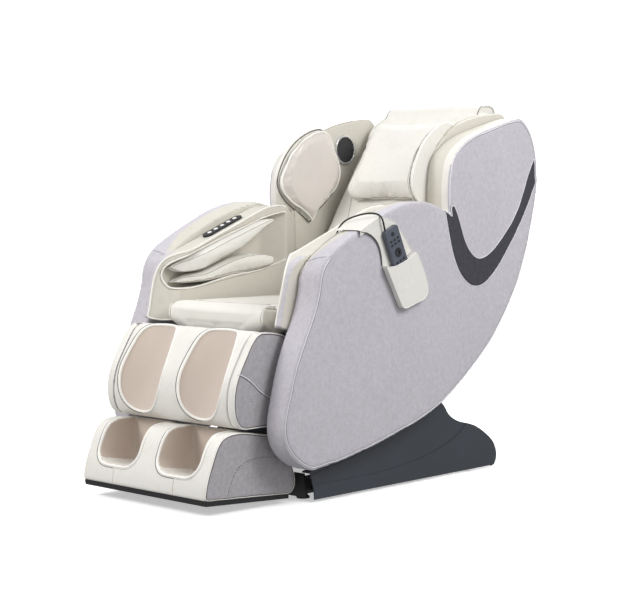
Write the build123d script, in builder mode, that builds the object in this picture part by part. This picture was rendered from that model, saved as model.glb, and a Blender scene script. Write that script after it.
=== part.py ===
from build123d import *
from math import cos, hypot, pi, radians, sin, tan
import os

# Massage chair with a tilting shell, a lifting leg rest and a roller carriage in its back.
# Millimetres. X runs to the sitter's left, Y to the back, Z up; Z = 0 is the floor.

# ---------------------------------------------------------------- driving dimensions
PANEL_IN = 272               # inner face of a side panel, from the middle
PANEL_OUT = 362              # furthest point of a panel's bulged outer face
BULGE_R = 9800               # radius of that bulge
BULGE_Y, BULGE_Z = 150, 600  # its highest point
STRIPE_DEPTH = 3
LINING_IN, LINING_OUT = 254, 270
ARM_IN = 202                 # inner face of an arm box
POCKET_OUT = 256             # bottom of the pocket in an arm box
COVER_IN, COVER_OUT = 262, 290
COVER_T = 4
FOOT_H = 8                   # the base stands this high on its feet
RAIL_X = 215                 # centre of a base frame rail
TUBE = 40                    # base frame tube
SEAT_HALF = 196
SEAT_FRONT, SEAT_BACK = -384, 192
SEAT_TOP, SEAT_BOTTOM = 512, 442
ARM_FOOT = 463               # underside of an arm box
BACK_Y, BACK_Z = 195, 505    # foot of the backrest's front face
BACK_FOOT = 16               # the backrest cushion starts this far up the back
BACK_ANGLE = 33              # degrees the backrest leans from upright
BACK_LENGTH, BACK_HALF, BACK_T = 688, 250, 72
TILT_Y, TILT_Z = 220, 190    # pivot of the whole shell on the base
LEG_Y, LEG_Z = -415, 385     # pivot of the leg rest on the seat frame
CALF_HALF, CALF_CORE = 250, 225
CHANNEL_X = 119              # centre of a calf channel and of a foot well
CHANNEL_R, CHANNEL_DEPTH = 105, 32
FOOT_HALF = 242.5
WELL_HALF = 82
CLEVIS = (232, 238)          # the seat frame's plates that carry the leg rest
SLIDE_X, SLIDE_Y, SLIDE_R = 90, -432, 11
SHAFT_R = 9
RUNNING = 0.05               # radial clearance of a shaft in its bore
SLIDING = 0.4                # radial clearance of a part that slides

TILT_BASE, TILT_EYE = (59, 57), (19, 260)      # tilt actuator's two pivots, (y, z)
LEG_BASE, LEG_EYE = (-190, 318), (-417, 352)   # leg actuator's two pivots, (y, z)
PIN_R = 5
EYE_WALL = 4
TILT_SLACK, LEG_SLACK = 2.0, 5.0               # radial play of each rod eye on its pin

RAIL_SPACE, RAIL_W = 130, 14     # back rail centre and width
CARRIAGE_Y = 100                 # where the carriage rests along the back
ROLLER_R, ROLLER_Z = 24, -105
WHEEL_R, WHEEL_Z = 22.7, -143

REMOTE_L, REMOTE_W, REMOTE_T = 168, 58, 13
REMOTE_BACK = 364                # x of the remote's back face
REMOTE_TOP = (-79, 724)          # middle of the remote's top end, (y, z)
REMOTE_LEAN = 25                 # degrees the remote's top leans to the front

BUTTONS, BUTTON_R, BUTTON_PITCH, BUTTON_TRAVEL = 5, 6.5, 27, 1.2
STRIP_L, STRIP_W, STRIP_T = 156, 30, 6
STRIP_AT = (-236, -117, 720.4)
ARM_SLOPE = 21.84

CORD_R = 2.4
CORD_ROUTE = [
    (370.2, -95.4, 716.6), (371, -101, 731), (371.5, -106, 746), (366, -111, 758.5), (352, -117, 764),
    (334, -124, 764), (314, -132, 760), (294, -141, 753.5), (276, -150, 744), (264.5, -157, 731),
    (261, -164, 716), (260.5, -168, 703.5),
]

back_a, slope_a, lean_a = radians(BACK_ANGLE), radians(ARM_SLOPE), radians(REMOTE_LEAN)
BACK = Plane(origin=(0, BACK_Y, BACK_Z), x_dir=(1, 0, 0), z_dir=(0, -cos(back_a), sin(back_a)))
BACK_SIDE = Plane(origin=(0, BACK_Y, BACK_Z), x_dir=(0, sin(back_a), cos(back_a)), z_dir=(1, 0, 0))
STRIP = Plane(STRIP_AT, x_dir=(0, cos(slope_a), sin(slope_a)), z_dir=(0, -sin(slope_a), cos(slope_a)))
REMOTE_MID = (REMOTE_TOP[0] + sin(lean_a) * REMOTE_L / 2, REMOTE_TOP[1] - cos(lean_a) * REMOTE_L / 2)
REMOTE = Plane((REMOTE_BACK, *REMOTE_MID), x_dir=(0, cos(lean_a), sin(lean_a)), z_dir=(1, 0, 0))

os.makedirs("parts", exist_ok=True)


def side(x):
    """A sketch plane facing +X: its own x is the model's Y and its own y is Z."""
    return Plane.YZ.offset(x)


def loop(*spans):
    """Draw spans end to end; a span of two points is straight, a longer one is smooth."""
    for span in spans:
        if len(span) == 2:
            Line(*span)
        else:
            Spline(*span)


def prism(x0, x1, *spans, mode=Mode.ADD):
    """Extrude a closed (y, z) outline from x0 to x1 into the part being built."""
    with BuildSketch(side(x0)) as outline:
        with BuildLine():
            loop(*spans)
        make_face()
    extrude(outline.sketch, amount=x1 - x0, mode=mode)


def plate(x0, x1, *points, mode=Mode.ADD):
    """Extrude a straight-sided (y, z) outline from x0 to x1."""
    with BuildSketch(side(x0)) as outline:
        with BuildLine():
            Polyline(*points, close=True)
        make_face()
    extrude(outline.sketch, amount=x1 - x0, mode=mode)


def block(xs, ys, zs, mode=Mode.ADD):
    """A box between pairs of limits."""
    with Locations(((xs[0] + xs[1]) / 2, (ys[0] + ys[1]) / 2, (zs[0] + zs[1]) / 2)):
        Box(xs[1] - xs[0], ys[1] - ys[0], zs[1] - zs[0], mode=mode)


def rod(radius, x0, x1, at, mode=Mode.ADD):
    """A round bar along X through the (y, z) point at."""
    with BuildSketch(side(x0)) as round_end:
        with Locations(at):
            Circle(radius)
    extrude(round_end.sketch, amount=x1 - x0, mode=mode)


def grown(points, factor, middle):
    """The same outline enlarged about a middle point."""
    return [(middle[0] + factor * (y - middle[0]), middle[1] + factor * (z - middle[1])) for y, z in points]


def both(x0, x1):
    """The same span of x on both sides of the middle."""
    return ((x0, x1), (-x1, -x0))


def save(piece, name):
    """Label one finished piece and write it."""
    piece.label = name
    export_step(piece, f"parts/{name}.step")


def save_pair(piece, name):
    """Write a left piece and its mirror image for the right."""
    with BuildPart() as other:
        add(mirror(piece, about=Plane.YZ))
    save(piece, name + "_left")
    save(other.part, name + "_right")


def save_both(piece, name):
    """Write a left piece and its mirror image as one node of separate solids."""
    with BuildPart() as together:
        add(piece)
        add(mirror(piece, about=Plane.YZ))
    save(together.part, name)


def joint_plane(at, towards, x=0):
    """A plane at one (y, z) pivot whose normal points at another."""
    direction = Vector(0, towards[0] - at[0], towards[1] - at[1])
    return Plane(origin=(x, *at), x_dir=(1, 0, 0), z_dir=direction)


# ---------------------------------------------------------------- base
COVER_TOP = [(-303, 84), (-231, 97), (-121, 118), (-6, 148), (96, 180), (180, 206), (246, 221)]
COVER_HORN = [(246, 221), (262, 208), (277, 188)]
COVER_TAIL = [(277, 188), (324, 158), (399, 138), (457, 108), (501, 70), (512, 38), (500, FOOT_H)]
COVER_NOSE = [(-283, FOOT_H), (-288, 45), (-303, 84)]
CREASE = [(-300, 46), (-68, 48), (126, 63), (242, 87), (342, 128), (400, 200)]

with BuildPart() as base_cover:
    prism(COVER_OUT - COVER_T, COVER_OUT, COVER_TOP, COVER_HORN, COVER_TAIL,
          [COVER_TAIL[-1], COVER_NOSE[0]], COVER_NOSE)
    # rims that turn in along the top and the tail
    for span, dy, dz in ((COVER_TOP, 0, -COVER_T), (COVER_TAIL, -COVER_T, -COVER_T)):
        inner = [(y + dy, z + dz) for y, z in reversed(span)]
        prism(COVER_IN, COVER_OUT - COVER_T, span, [span[-1], inner[0]], inner, [inner[-1], span[0]])
    # shallow step above the crease and a thin shadow line under the top lip
    prism(COVER_OUT - 1.6, COVER_OUT, CREASE, [(400, 200), (400, 300)], [(400, 300), (-400, 300)],
          [(-400, 300), (-400, 46)], [(-400, 46), (-300, 46)], mode=Mode.SUBTRACT)
    lip_top = [(y, z - 8) for y, z in COVER_TOP]
    lip_low = [(y, z - 10.5) for y, z in reversed(COVER_TOP)]
    prism(COVER_OUT - 2.8, COVER_OUT, lip_top, [lip_top[-1], lip_low[0]], lip_low,
          [lip_low[-1], lip_top[0]], mode=Mode.SUBTRACT)
save_pair(base_cover.part, "base_cover")

with BuildPart() as base_front_cover:
    plate(-COVER_IN + 1, COVER_IN - 1, (-288, FOOT_H + 2), (-284, FOOT_H + 2), (-291, 76), (-295, 76))
    fillet(base_front_cover.edges().filter_by(Axis.X), 1.2)
save(base_front_cover.part, "base_front_cover")

FRAME_Z = FOOT_H + 6
with BuildPart() as base_frame:
    for xs in both(RAIL_X - TUBE / 2, RAIL_X + TUBE / 2):
        block(xs, (-272, 480), (FRAME_Z, FRAME_Z + TUBE))
    for front, back in ((-272, -232), (39, 79), (430, 470)):
        block((-RAIL_X, RAIL_X), (front, back), (FRAME_Z, FRAME_Z + 26))
    for x0, x1 in both(222, 232):
        plate(x0, x1, (130, 50), (310, 50), (246, 200), (232, 212), (208, 212), (194, 200))
    for x0, x1 in both(18, 25):
        plate(x0, x1, (41, 38), (77, 38), (70, 64), (64, 70), (54, 70), (48, 64))
    rod(SHAFT_R + RUNNING, -240, 240, (TILT_Y, TILT_Z), mode=Mode.SUBTRACT)
    rod(PIN_R, -28, 28, TILT_BASE)
    # brackets that carry the side covers
    for ys in ((-240, -210), (130, 160), (400, 430)):
        for xs in both(RAIL_X + TUBE / 2, COVER_OUT - COVER_T):
            block(xs, ys, (FRAME_Z + 8, FRAME_Z + 12))
save(base_frame.part, "base_frame")

with BuildPart() as base_feet:
    for x in (-RAIL_X, RAIL_X):
        for y in (-250, 440):
            with Locations((x, y, 0)):
                Cylinder(18, 5, align=(Align.CENTER, Align.CENTER, Align.MIN))
                Cylinder(13, FRAME_Z, align=(Align.CENTER, Align.CENTER, Align.MIN))
save(base_feet.part, "base_feet")

with BuildPart() as tilt_shaft:
    rod(SHAFT_R, -244, 244, (TILT_Y, TILT_Z))
    for x0, x1 in both(233.5, 237.5):
        rod(SHAFT_R + 4, x0, x1, (TILT_Y, TILT_Z))
    chamfer(tilt_shaft.edges().filter_by(GeomType.CIRCLE).group_by(Axis.X)[0], 1.5)
save(tilt_shaft.part, "tilt_shaft")

INLET_Y = 471
with BuildPart() as power_inlet:
    block((-48, 48), (INLET_Y, INLET_Y + 16), (FRAME_Z, FRAME_Z + 52))
    block((-38, -10), (INLET_Y + 2, INLET_Y + 16), (FRAME_Z + 16, FRAME_Z + 37), mode=Mode.SUBTRACT)
    for x in (-31, -24, -17):
        block((x - 1, x + 1), (INLET_Y + 1, INLET_Y + 12), (FRAME_Z + 24, FRAME_Z + 29))
    block((10, 34), (INLET_Y + 4, INLET_Y + 16), (FRAME_Z + 18, FRAME_Z + 35), mode=Mode.SUBTRACT)
save(power_inlet.part, "power_inlet")

with BuildPart() as power_rocker:
    block((11, 33), (INLET_Y + 8.5, INLET_Y + 17), (FRAME_Z + 20.5, FRAME_Z + 32.5))
    chamfer(power_rocker.faces().sort_by(Axis.Y)[-1].edges().filter_by(Axis.X), 2)
    rod(1.5, 10.4, 33.6, (INLET_Y + 11.5, FRAME_Z + 26.5))
save(power_rocker.part, "power_rocker")

with BuildPart() as air_pump:
    block((66, 184), (62, 196), (FRAME_Z + 26, FRAME_Z + 104))
    fillet(air_pump.edges().filter_by(Axis.Z), 12)
    with BuildSketch(Plane.XY.offset(FRAME_Z + 104)):
        with GridLocations(40, 0, 3, 1):
            with Locations((125, 129)):
                Circle(9)
    extrude(amount=12)
save(air_pump.part, "air_pump")

with BuildPart() as control_box:
    block((-172, -44), (62, 200), (FRAME_Z + 26, FRAME_Z + 74))
    fillet(control_box.edges().filter_by(Axis.Z), 6)
    with BuildSketch(Plane.XY.offset(FRAME_Z + 74)):
        with Locations((-108, 131)):
            with GridLocations(0, 16, 1, 6):
                Rectangle(100, 5)
    extrude(amount=-2, mode=Mode.SUBTRACT)
save(control_box.part, "control_box")

# ---------------------------------------------------------------- linear actuators


def actuator(name, start, eye, slack, tube_end, rod_start, tube_r):
    """A motor-driven tube on one pivot and the rod that leaves it towards the other."""
    length = hypot(eye[0] - start[0], eye[1] - start[1])
    line = joint_plane(start, eye)
    with BuildPart() as tube:
        with BuildSketch(line.offset(8)):
            Circle(tube_r)
        extrude(amount=tube_end - 8)
        rod(12, -11, 11, start)
        with BuildSketch(line.offset(30)):
            with Locations((tube_r + 20, 0)):
                Circle(21)
        extrude(amount=62)
        with BuildSketch(line.offset(30)):
            with Locations((tube_r + 4, 0)):
                Rectangle(24, 30)
        extrude(amount=20)
        rod(PIN_R + RUNNING, -13, 13, start, mode=Mode.SUBTRACT)
        with BuildSketch(line.offset(rod_start - 6)):
            Circle(tube_r - 6 + SLIDING)
        extrude(amount=tube_end, mode=Mode.SUBTRACT)
    with BuildPart() as shaft:
        with BuildSketch(line.offset(rod_start)):
            Circle(tube_r - 6)
        extrude(amount=length - rod_start - PIN_R - slack - 2)
        rod(PIN_R + slack + EYE_WALL, -8, 8, eye)
        rod(PIN_R + slack, -12, 12, eye, mode=Mode.SUBTRACT)
    save(tube.part, name + "_tube")
    save(shaft.part, name + "_rod")


actuator("tilt_actuator", TILT_BASE, TILT_EYE, TILT_SLACK, 176, 58, 17)
actuator("leg_actuator", LEG_BASE, LEG_EYE, LEG_SLACK, 168, 96, 13)

# ---------------------------------------------------------------- seat frame
with BuildPart() as seat_frame:
    for xs in both(185, 214):
        block(xs, (-300, 330), (410, 440))
    for front, back in ((-195, -165), (4, 34), (300, 330)):
        block((-200, 200), (front, back), (410, 440))
    block((-CLEVIS[1], CLEVIS[1]), (-300, -270), (410, 440))
    for x0, x1 in both(205, 214):
        plate(x0, x1, (110, 412), (310, 412), (243, 178), (232, 168), (208, 168), (197, 178))
    for x0, x1 in both(*CLEVIS):
        plate(x0, x1, (-270, 440), (-312, 440), (-428, 402), (-432, 380), (-420, 368), (-398, 368),
              (-270, 410))
    for x0, x1 in both(16, 23):
        plate(x0, x1, (4, 412), (34, 412), (34, 256), (28, 246), (10, 246), (4, 256))
        plate(x0, x1, (-165, 412), (-205, 412), (-205, 312), (-198, 304), (-182, 304), (-175, 312))
    rod(SHAFT_R + RUNNING, -240, 240, (TILT_Y, TILT_Z), mode=Mode.SUBTRACT)
    rod(SHAFT_R + RUNNING, -CALF_HALF, CALF_HALF, (LEG_Y, LEG_Z), mode=Mode.SUBTRACT)
    rod(PIN_R, -26, 26, TILT_EYE)
    rod(PIN_R, -26, 26, LEG_BASE)
    # outriggers that carry the side panels
    for ys in ((-120, -90), (120, 150)):
        for xs in both(214, PANEL_IN):
            block(xs, ys, (414, 434))
save(seat_frame.part, "seat_frame")

with BuildPart() as leg_shaft:
    rod(SHAFT_R, -CLEVIS[1] - 4, CLEVIS[1] + 4, (LEG_Y, LEG_Z))
save(leg_shaft.part, "leg_shaft")

# ---------------------------------------------------------------- side panels
CREST = [(-330, 596), (-314, 632), (-262, 676), (-165, 727), (-71, 768), (20, 792), (95, 794), (160, 776),
         (204, 752)]
WING = [(204, 752), (197, 800), (200, 868), (214, 915), (252, 952), (316, 984), (405, 1010), (490, 1032),
        (548, 1042)]
REAR = [(548, 1042), (592, 1014), (622, 962), (635, 900), (628, 824), (593, 702), (532, 563)]
UNDER = [(532, 563), (469, 472), (384, 378), (292, 305), (175, 230), (-6, 165), (-231, 112), (-338, 97)]
FRONT = [(-338, 97), (-405, 130), (-441, 175), (-449, 217), (-437, 286), (-404, 395), (-354, 503),
         (-330, 596)]
STRIPE_LOW = [(172, 768), (200, 667), (233, 601), (266, 569), (316, 552), (366, 566), (451, 636), (547, 745),
              (619, 850)]
STRIPE_HIGH = [(616, 925), (572, 861), (529, 782), (433, 683), (365, 640), (323, 634), (281, 660), (248, 717),
               (212, 785)]
BALL_X = PANEL_OUT - BULGE_R

with BuildPart() as stripe_seat:
    prism(PANEL_IN + 40, PANEL_OUT + 5, STRIPE_LOW, [STRIPE_LOW[-1], STRIPE_HIGH[0]], STRIPE_HIGH,
          [STRIPE_HIGH[-1], STRIPE_LOW[0]])
    with Locations((BALL_X, BULGE_Y, BULGE_Z)):
        Sphere(BULGE_R - STRIPE_DEPTH, mode=Mode.SUBTRACT)

with BuildPart() as side_panel:
    prism(PANEL_IN, PANEL_OUT + 5, CREST, WING, REAR, UNDER, FRONT)
    with Locations((BALL_X, BULGE_Y, BULGE_Z)):
        Sphere(BULGE_R, mode=Mode.INTERSECT)
    add(stripe_seat.part, mode=Mode.SUBTRACT)
save_pair(side_panel.part, "side_panel")

with BuildPart() as panel_block:
    prism(PANEL_IN, PANEL_OUT + 5, CREST, WING, REAR, UNDER, FRONT)

with BuildPart() as panel_stripe:
    add(stripe_seat.part)
    add(side_panel.part, mode=Mode.SUBTRACT)
    with Locations((BALL_X, BULGE_Y, BULGE_Z)):
        Sphere(BULGE_R + 0.6, mode=Mode.INTERSECT)
    add(panel_block.part, mode=Mode.INTERSECT)
save_both(panel_stripe.part, "panel_stripes")

# ---------------------------------------------------------------- arms
ARM_TOP = [(5, 769), (60, 782), (110, 781), (160, 766), (203, 742)]
ARM_FRONT = [(-394, ARM_FOOT + 7), (-381, 520), (-363, 590), (-340, 630), (-300, 651), (-262, 662)]
POCKET_TOP = [(130, 764), (75, 760), (7, 744), (-62, 721), (-147, 692), (-230, 662), (-294, 638), (-335, 615)]
POCKET_FOOT = [(-335, 552), (-240, 556), (-120, 580), (0, 594), (75, 612), (130, 626)]
POCKET_REAR = 50             # behind this the pocket's bottom comes in to nothing
with BuildPart() as arm_pocket:
    prism(ARM_IN - 1, POCKET_OUT, POCKET_TOP, [POCKET_TOP[-1], (-348, 588), POCKET_FOOT[0]], POCKET_FOOT,
          [POCKET_FOOT[-1], POCKET_TOP[0]])
    with BuildSketch(Plane.XY.offset(ARM_FOOT)):
        with BuildLine():
            Polyline((POCKET_OUT + 1, POCKET_REAR), (POCKET_OUT + 1, 203), (ARM_IN - 2, 203),
                     (ARM_IN - 2, 130), close=True)
        make_face()
    extrude(amount=400, mode=Mode.SUBTRACT)

ARM_CORNER = Plane((ARM_IN + 48, -391, 470), x_dir=(0, 31, 120), z_dir=(-58 * 120, -48 * 120, 48 * 31))
with BuildPart() as inner_arm:
    prism(ARM_IN, LINING_OUT, [(203, 742), (203, ARM_FOOT)], [(203, ARM_FOOT), (-370, ARM_FOOT)],
          [(-370, ARM_FOOT), ARM_FRONT[0]], ARM_FRONT, [ARM_FRONT[-1], ARM_TOP[0]], ARM_TOP)
    split(bisect_by=ARM_CORNER, keep=Keep.BOTTOM)
    add(arm_pocket.part, mode=Mode.SUBTRACT)
    # the rear runs out to the wing lining
    with BuildSketch(Plane.XY.offset(ARM_FOOT)):
        with BuildLine():
            Polyline((ARM_IN - 1, 110), (ARM_IN - 1, 204), (LINING_IN - 2, 204), close=True)
        make_face()
    extrude(amount=400, mode=Mode.SUBTRACT)
save_pair(inner_arm.part, "inner_arm")

UPPER_TOP = [(-328, 608), (-290, 629), (-225, 655), (-145, 685), (-60, 714), (8, 737), (44, 747)]
UPPER_LOW = [(44, 735), (-18, 702), (-69, 672), (-138, 642), (-204, 618), (-253, 601), (-300, 596)]
with BuildPart() as arm_pad_upper:
    prism(178, POCKET_OUT - 1, UPPER_TOP, [UPPER_TOP[-1], UPPER_LOW[0]], UPPER_LOW,
          [UPPER_LOW[-1], UPPER_TOP[0]])
save_both(arm_pad_upper.part, "arm_pads_upper")

with BuildPart() as arm_pad_lower:
    prism(186, POCKET_OUT - 1, [(-322, 566), (-258, 568), (-120, 586), (0, 600), (50, 611)],
          [(50, 611), (50, 634)], [(50, 634), (-40, 640), (-141, 618), (-240, 588), (-300, 578), (-322, 566)])
save_both(arm_pad_lower.part, "arm_pads_lower")

with BuildPart() as control_strip:
    with BuildSketch(STRIP):
        SlotOverall(STRIP_L, STRIP_W)
    extrude(amount=STRIP_T)
    with BuildSketch(STRIP.offset(1)):
        with GridLocations(BUTTON_PITCH, 0, BUTTONS, 1):
            Circle(BUTTON_R + SLIDING)
    extrude(amount=STRIP_T, mode=Mode.SUBTRACT)
save(control_strip.part, "control_strip")

for number in range(BUTTONS):
    along = (number - (BUTTONS - 1) / 2) * BUTTON_PITCH
    with BuildPart() as arm_button:
        with BuildSketch(STRIP.offset(1 + BUTTON_TRAVEL + 0.3)):
            with Locations((along, 0)):
                Circle(BUTTON_R)
        extrude(amount=STRIP_T - BUTTON_TRAVEL + 0.2)
        fillet(arm_button.edges().filter_by(GeomType.CIRCLE).sort_by(Axis.Z)[-1], 0.8)
    save(arm_button.part, f"arm_button_{number + 1}")

# ---------------------------------------------------------------- wings
PAD_FRONT = [(268, 729), (212, 766), (157, 807), (136, 845), (149, 898), (184, 952), (233, 992), (303, 1018)]
PAD_REAR = [(303, 1018), (339, 1006), (364, 962), (391, 888), (383, 852), (325, 786), (268, 729)]
PAD_SPLAY = 4.6              # degrees the pads open to the front
PAD_T, BACKING_T = 16, 10
pad_a = radians(PAD_SPLAY)
PAD_FACE = 257               # x of a pad's inner face, carried forward to y = 0
PAD_PLANE = Plane((PAD_FACE, 0, 0), x_dir=(-sin(pad_a), cos(pad_a), 0), z_dir=(cos(pad_a), sin(pad_a), 0))


def pad_layer(start, thickness, factor):
    """One layer of a shoulder pad, its outline enlarged by factor."""
    with BuildPart() as layer:
        with BuildSketch(PAD_PLANE.offset(start)):
            with BuildLine():
                loop(*(grown(span, factor, (262, 870)) for span in (PAD_FRONT, PAD_REAR)))
            make_face()
        extrude(amount=thickness)
    return layer.part


shoulder_pad = pad_layer(0, PAD_T, 1)
shoulder_backing = pad_layer(PAD_T + 0.5, BACKING_T, 1.03)
save_pair(shoulder_pad, "shoulder_pad")
save_both(shoulder_backing, "shoulder_backings")

LINING_TOP = [(206, 748), (200, 800), (203, 868), (217, 913), (254, 958), (318, 1006), (398, 1036),
              (480, 1052), (556, 1058)]
LINING_REAR = [(556, 1058), (590, 1018), (610, 962), (616, 899), (608, 827), (574, 709), (514, 571),
               (447, 474)]
with BuildPart() as wing_lining:
    prism(LINING_IN, LINING_OUT, [(206, 474), (206, 748)], LINING_TOP, LINING_REAR, [(447, 474), (206, 474)])
    for layer in (shoulder_pad, shoulder_backing):
        add(layer, mode=Mode.SUBTRACT)
save_pair(wing_lining.part, "wing_lining")

SPEAKER_AT = (428, 958)
with BuildPart() as speaker_ring:
    rod(46, LINING_IN - 9, LINING_IN, SPEAKER_AT)
    rod(40, LINING_IN - 9, LINING_IN, SPEAKER_AT, mode=Mode.SUBTRACT)
    fillet(speaker_ring.edges().group_by(Axis.X)[0], 1.5)
save_both(speaker_ring.part, "speaker_rings")

with BuildPart() as speaker_grille:
    rod(39.5, LINING_IN - 6, LINING_IN, SPEAKER_AT)
    fillet(speaker_grille.edges().group_by(Axis.X)[0], 3)
save_both(speaker_grille.part, "speaker_grilles")

# ---------------------------------------------------------------- back
SHELL_OUT = [(608, 988), (619, 962), (632, 900), (625, 824), (590, 702), (529, 563), (466, 472), (381, 378),
             (296, 312)]
SHELL_IN = [(292, 318), (376, 385), (459, 478), (521, 567), (582, 705), (617, 826), (624, 899), (612, 958),
            (601, 982)]
with BuildPart() as back_shell:
    prism(-LINING_OUT, LINING_OUT, SHELL_OUT, [SHELL_OUT[-1], SHELL_IN[0]], SHELL_IN,
          [SHELL_IN[-1], SHELL_OUT[0]])
    # the shell's sides clear the wing linings
    for x0, x1 in both(LINING_IN - 1, LINING_OUT):
        plate(x0, x1, (190, 472), (449, 472), (700, 800), (700, 1100), (190, 1100), mode=Mode.SUBTRACT)
save(back_shell.part, "back_shell")

with BuildPart() as back_rails:
    for xs in both(RAIL_SPACE - RAIL_W / 2, RAIL_SPACE + RAIL_W / 2):
        with BuildSketch(BACK.offset(-120)):
            with Locations(((xs[0] + xs[1]) / 2, 283)):
                Rectangle(RAIL_W, 534)
        extrude(amount=30)
    for along in (24, 540):
        with BuildSketch(BACK.offset(-135)):
            with Locations((0, along)):
                Rectangle(2 * RAIL_SPACE + RAIL_W, 20)
        extrude(amount=15)
save(back_rails.part, "back_rails")

with BuildPart() as carriage_frame:
    with BuildSketch(BACK.offset(-160)):
        with Locations((0, CARRIAGE_Y)):
            Rectangle(300, 90)
            for x in (-RAIL_SPACE, RAIL_SPACE):
                with Locations((x, 0)):
                    Rectangle(18, 56, mode=Mode.SUBTRACT)
    extrude(amount=30)
    for x in (-113, 113):
        with BuildSketch(BACK.offset(-130)):
            with Locations((x, CARRIAGE_Y)):
                Rectangle(18, 70)
        extrude(amount=38)
    # gear motor behind the plate
    with BuildSketch(BACK.offset(-176)):
        with Locations((0, CARRIAGE_Y)):
            RectangleRounded(120, 60, 10)
    extrude(amount=17)
    axle_at = (CARRIAGE_Y * sin(back_a) - ROLLER_Z * cos(back_a) + BACK_Y,
               CARRIAGE_Y * cos(back_a) + ROLLER_Z * sin(back_a) + BACK_Z)
    shaft_at = (CARRIAGE_Y * sin(back_a) - WHEEL_Z * cos(back_a) + BACK_Y,
                CARRIAGE_Y * cos(back_a) + WHEEL_Z * sin(back_a) + BACK_Z)
    rod(6 + RUNNING, -125, 125, axle_at, mode=Mode.SUBTRACT)
    rod(5.5 + RUNNING, -146, 146, shaft_at, mode=Mode.SUBTRACT)
save(carriage_frame.part, "carriage_frame")

with BuildPart() as massage_rollers:
    rod(6, -121, 121, axle_at)
    for x in (-75, -30, 30, 75):
        rod(ROLLER_R, x - 14, x + 14, axle_at)
    fillet(massage_rollers.edges().filter_by(GeomType.CIRCLE).filter_by(lambda e: e.radius > 20), 5)
save(massage_rollers.part, "massage_rollers")

with BuildPart() as walking_shaft:
    rod(5.5, -145, 145, shaft_at)
    for x in (-RAIL_SPACE, RAIL_SPACE):
        rod(WHEEL_R, x - 6, x + 6, shaft_at)
save(walking_shaft.part, "walking_shaft")

with BuildPart() as backrest_cushion:
    with BuildSketch(BACK.offset(-BACK_T)) as back_outline:
        with Locations((0, (BACK_FOOT + BACK_LENGTH) / 2)):
            Rectangle(2 * BACK_HALF, BACK_LENGTH - BACK_FOOT)
        fillet(back_outline.vertices().group_by(Axis.Y)[-1], 80)
    extrude(amount=BACK_T)
    fillet(backrest_cushion.faces().sort_by(Axis(BACK.origin, BACK.z_dir))[-1].edges(), 12)
save(backrest_cushion.part, "backrest_cushion")

PILLOW_HINGE = (612, 11)     # up the back and out from it
with BuildPart() as head_pillow:
    with BuildSketch(BACK.offset(7.5)):
        with Locations((0, 466)):
            RectangleRounded(350, 276, 40)
    extrude(amount=58)
    fillet(head_pillow.faces().sort_by(Axis(BACK.origin, BACK.z_dir))[-1].edges(), 26)
    # the corded edge that it folds up on, and the strip that holds it
    with BuildSketch(BACK_SIDE.offset(-130)):
        with Locations(PILLOW_HINGE):
            Circle(2.5)
    extrude(amount=260)
    with BuildSketch(BACK.offset(PILLOW_HINGE[1] - 1)):
        with Locations((0, 606)):
            Rectangle(260, 12)
    extrude(amount=2)
save(head_pillow.part, "head_pillow")

FLAP_HALF = 185
FLAP_FOOT = [(494.9, 978), (499.1, 975.2)]     # tucked in behind the pillow
FLAP_IN = [(559, 1067.5), (575, 1081), (598, 1086), (626, 1080), (634, 1064), (633, 1040), (618, 1000)]
FLAP_OUT = [(622, 997), (638, 1038), (639, 1066), (630, 1084), (598, 1091), (573, 1087), (559.2, 1076.9)]
with BuildPart() as pillow_flap:
    prism(-FLAP_HALF, FLAP_HALF, FLAP_FOOT, [FLAP_FOOT[1], FLAP_IN[0]], FLAP_IN,
          [FLAP_IN[-1], FLAP_OUT[0]], FLAP_OUT, [FLAP_OUT[-1], FLAP_FOOT[0]])
save(pillow_flap.part, "pillow_flap")

with BuildPart() as seat_cushion:
    plate(-SEAT_HALF, SEAT_HALF, (SEAT_FRONT, 466), (-350, 450), (-330, 424), (-308, 424),
          (-308, SEAT_BOTTOM), (SEAT_BACK, SEAT_BOTTOM), (SEAT_BACK, SEAT_TOP - 10), (120, SEAT_TOP),
          (SEAT_FRONT, SEAT_TOP))
    fillet(seat_cushion.edges().filter_by(Axis.X).group_by(Axis.Y)[0], 12)
save(seat_cushion.part, "seat_cushion")

# ---------------------------------------------------------------- remote, pouch and strap
REMOTE_R = 9
with BuildPart() as remote_body:
    with BuildSketch(REMOTE):
        RectangleRounded(REMOTE_W, REMOTE_L, REMOTE_R)
    extrude(amount=REMOTE_T)
    fillet(remote_body.faces().sort_by(Axis.X)[-1].edges(), 2)
    fillet(remote_body.faces().sort_by(Axis.X)[0].edges(), 2)
    with BuildSketch(REMOTE.offset(REMOTE_T - 3)):
        with Locations((0, 66)):
            Circle(6.4)
        with Locations((0, 12)):
            Circle(13.4)
    extrude(amount=5, mode=Mode.SUBTRACT)
save(remote_body.part, "remote_body")

with BuildPart() as remote_power_key:
    with BuildSketch(REMOTE.offset(REMOTE_T - 1.8)):
        with Locations((0, 66)):
            Circle(6)
    extrude(amount=2.4)
save(remote_power_key.part, "remote_power_key")

with BuildPart() as remote_wheel_key:
    with BuildSketch(REMOTE.offset(REMOTE_T - 1.8)):
        with Locations((0, 12)):
            Circle(13)
            Circle(5.5, mode=Mode.SUBTRACT)
    extrude(amount=2.4)
save(remote_wheel_key.part, "remote_wheel_key")

with BuildPart() as remote_small_keys:
    with BuildSketch(REMOTE.offset(REMOTE_T)):
        with Locations((0, 44)):
            with GridLocations(15, 11, 3, 2):
                SlotOverall(10, 6)
        with Locations((0, -18)):
            with GridLocations(15, 11, 3, 2):
                SlotOverall(10, 6)
    extrude(amount=0.6)
save(remote_small_keys.part, "remote_small_keys")

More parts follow.
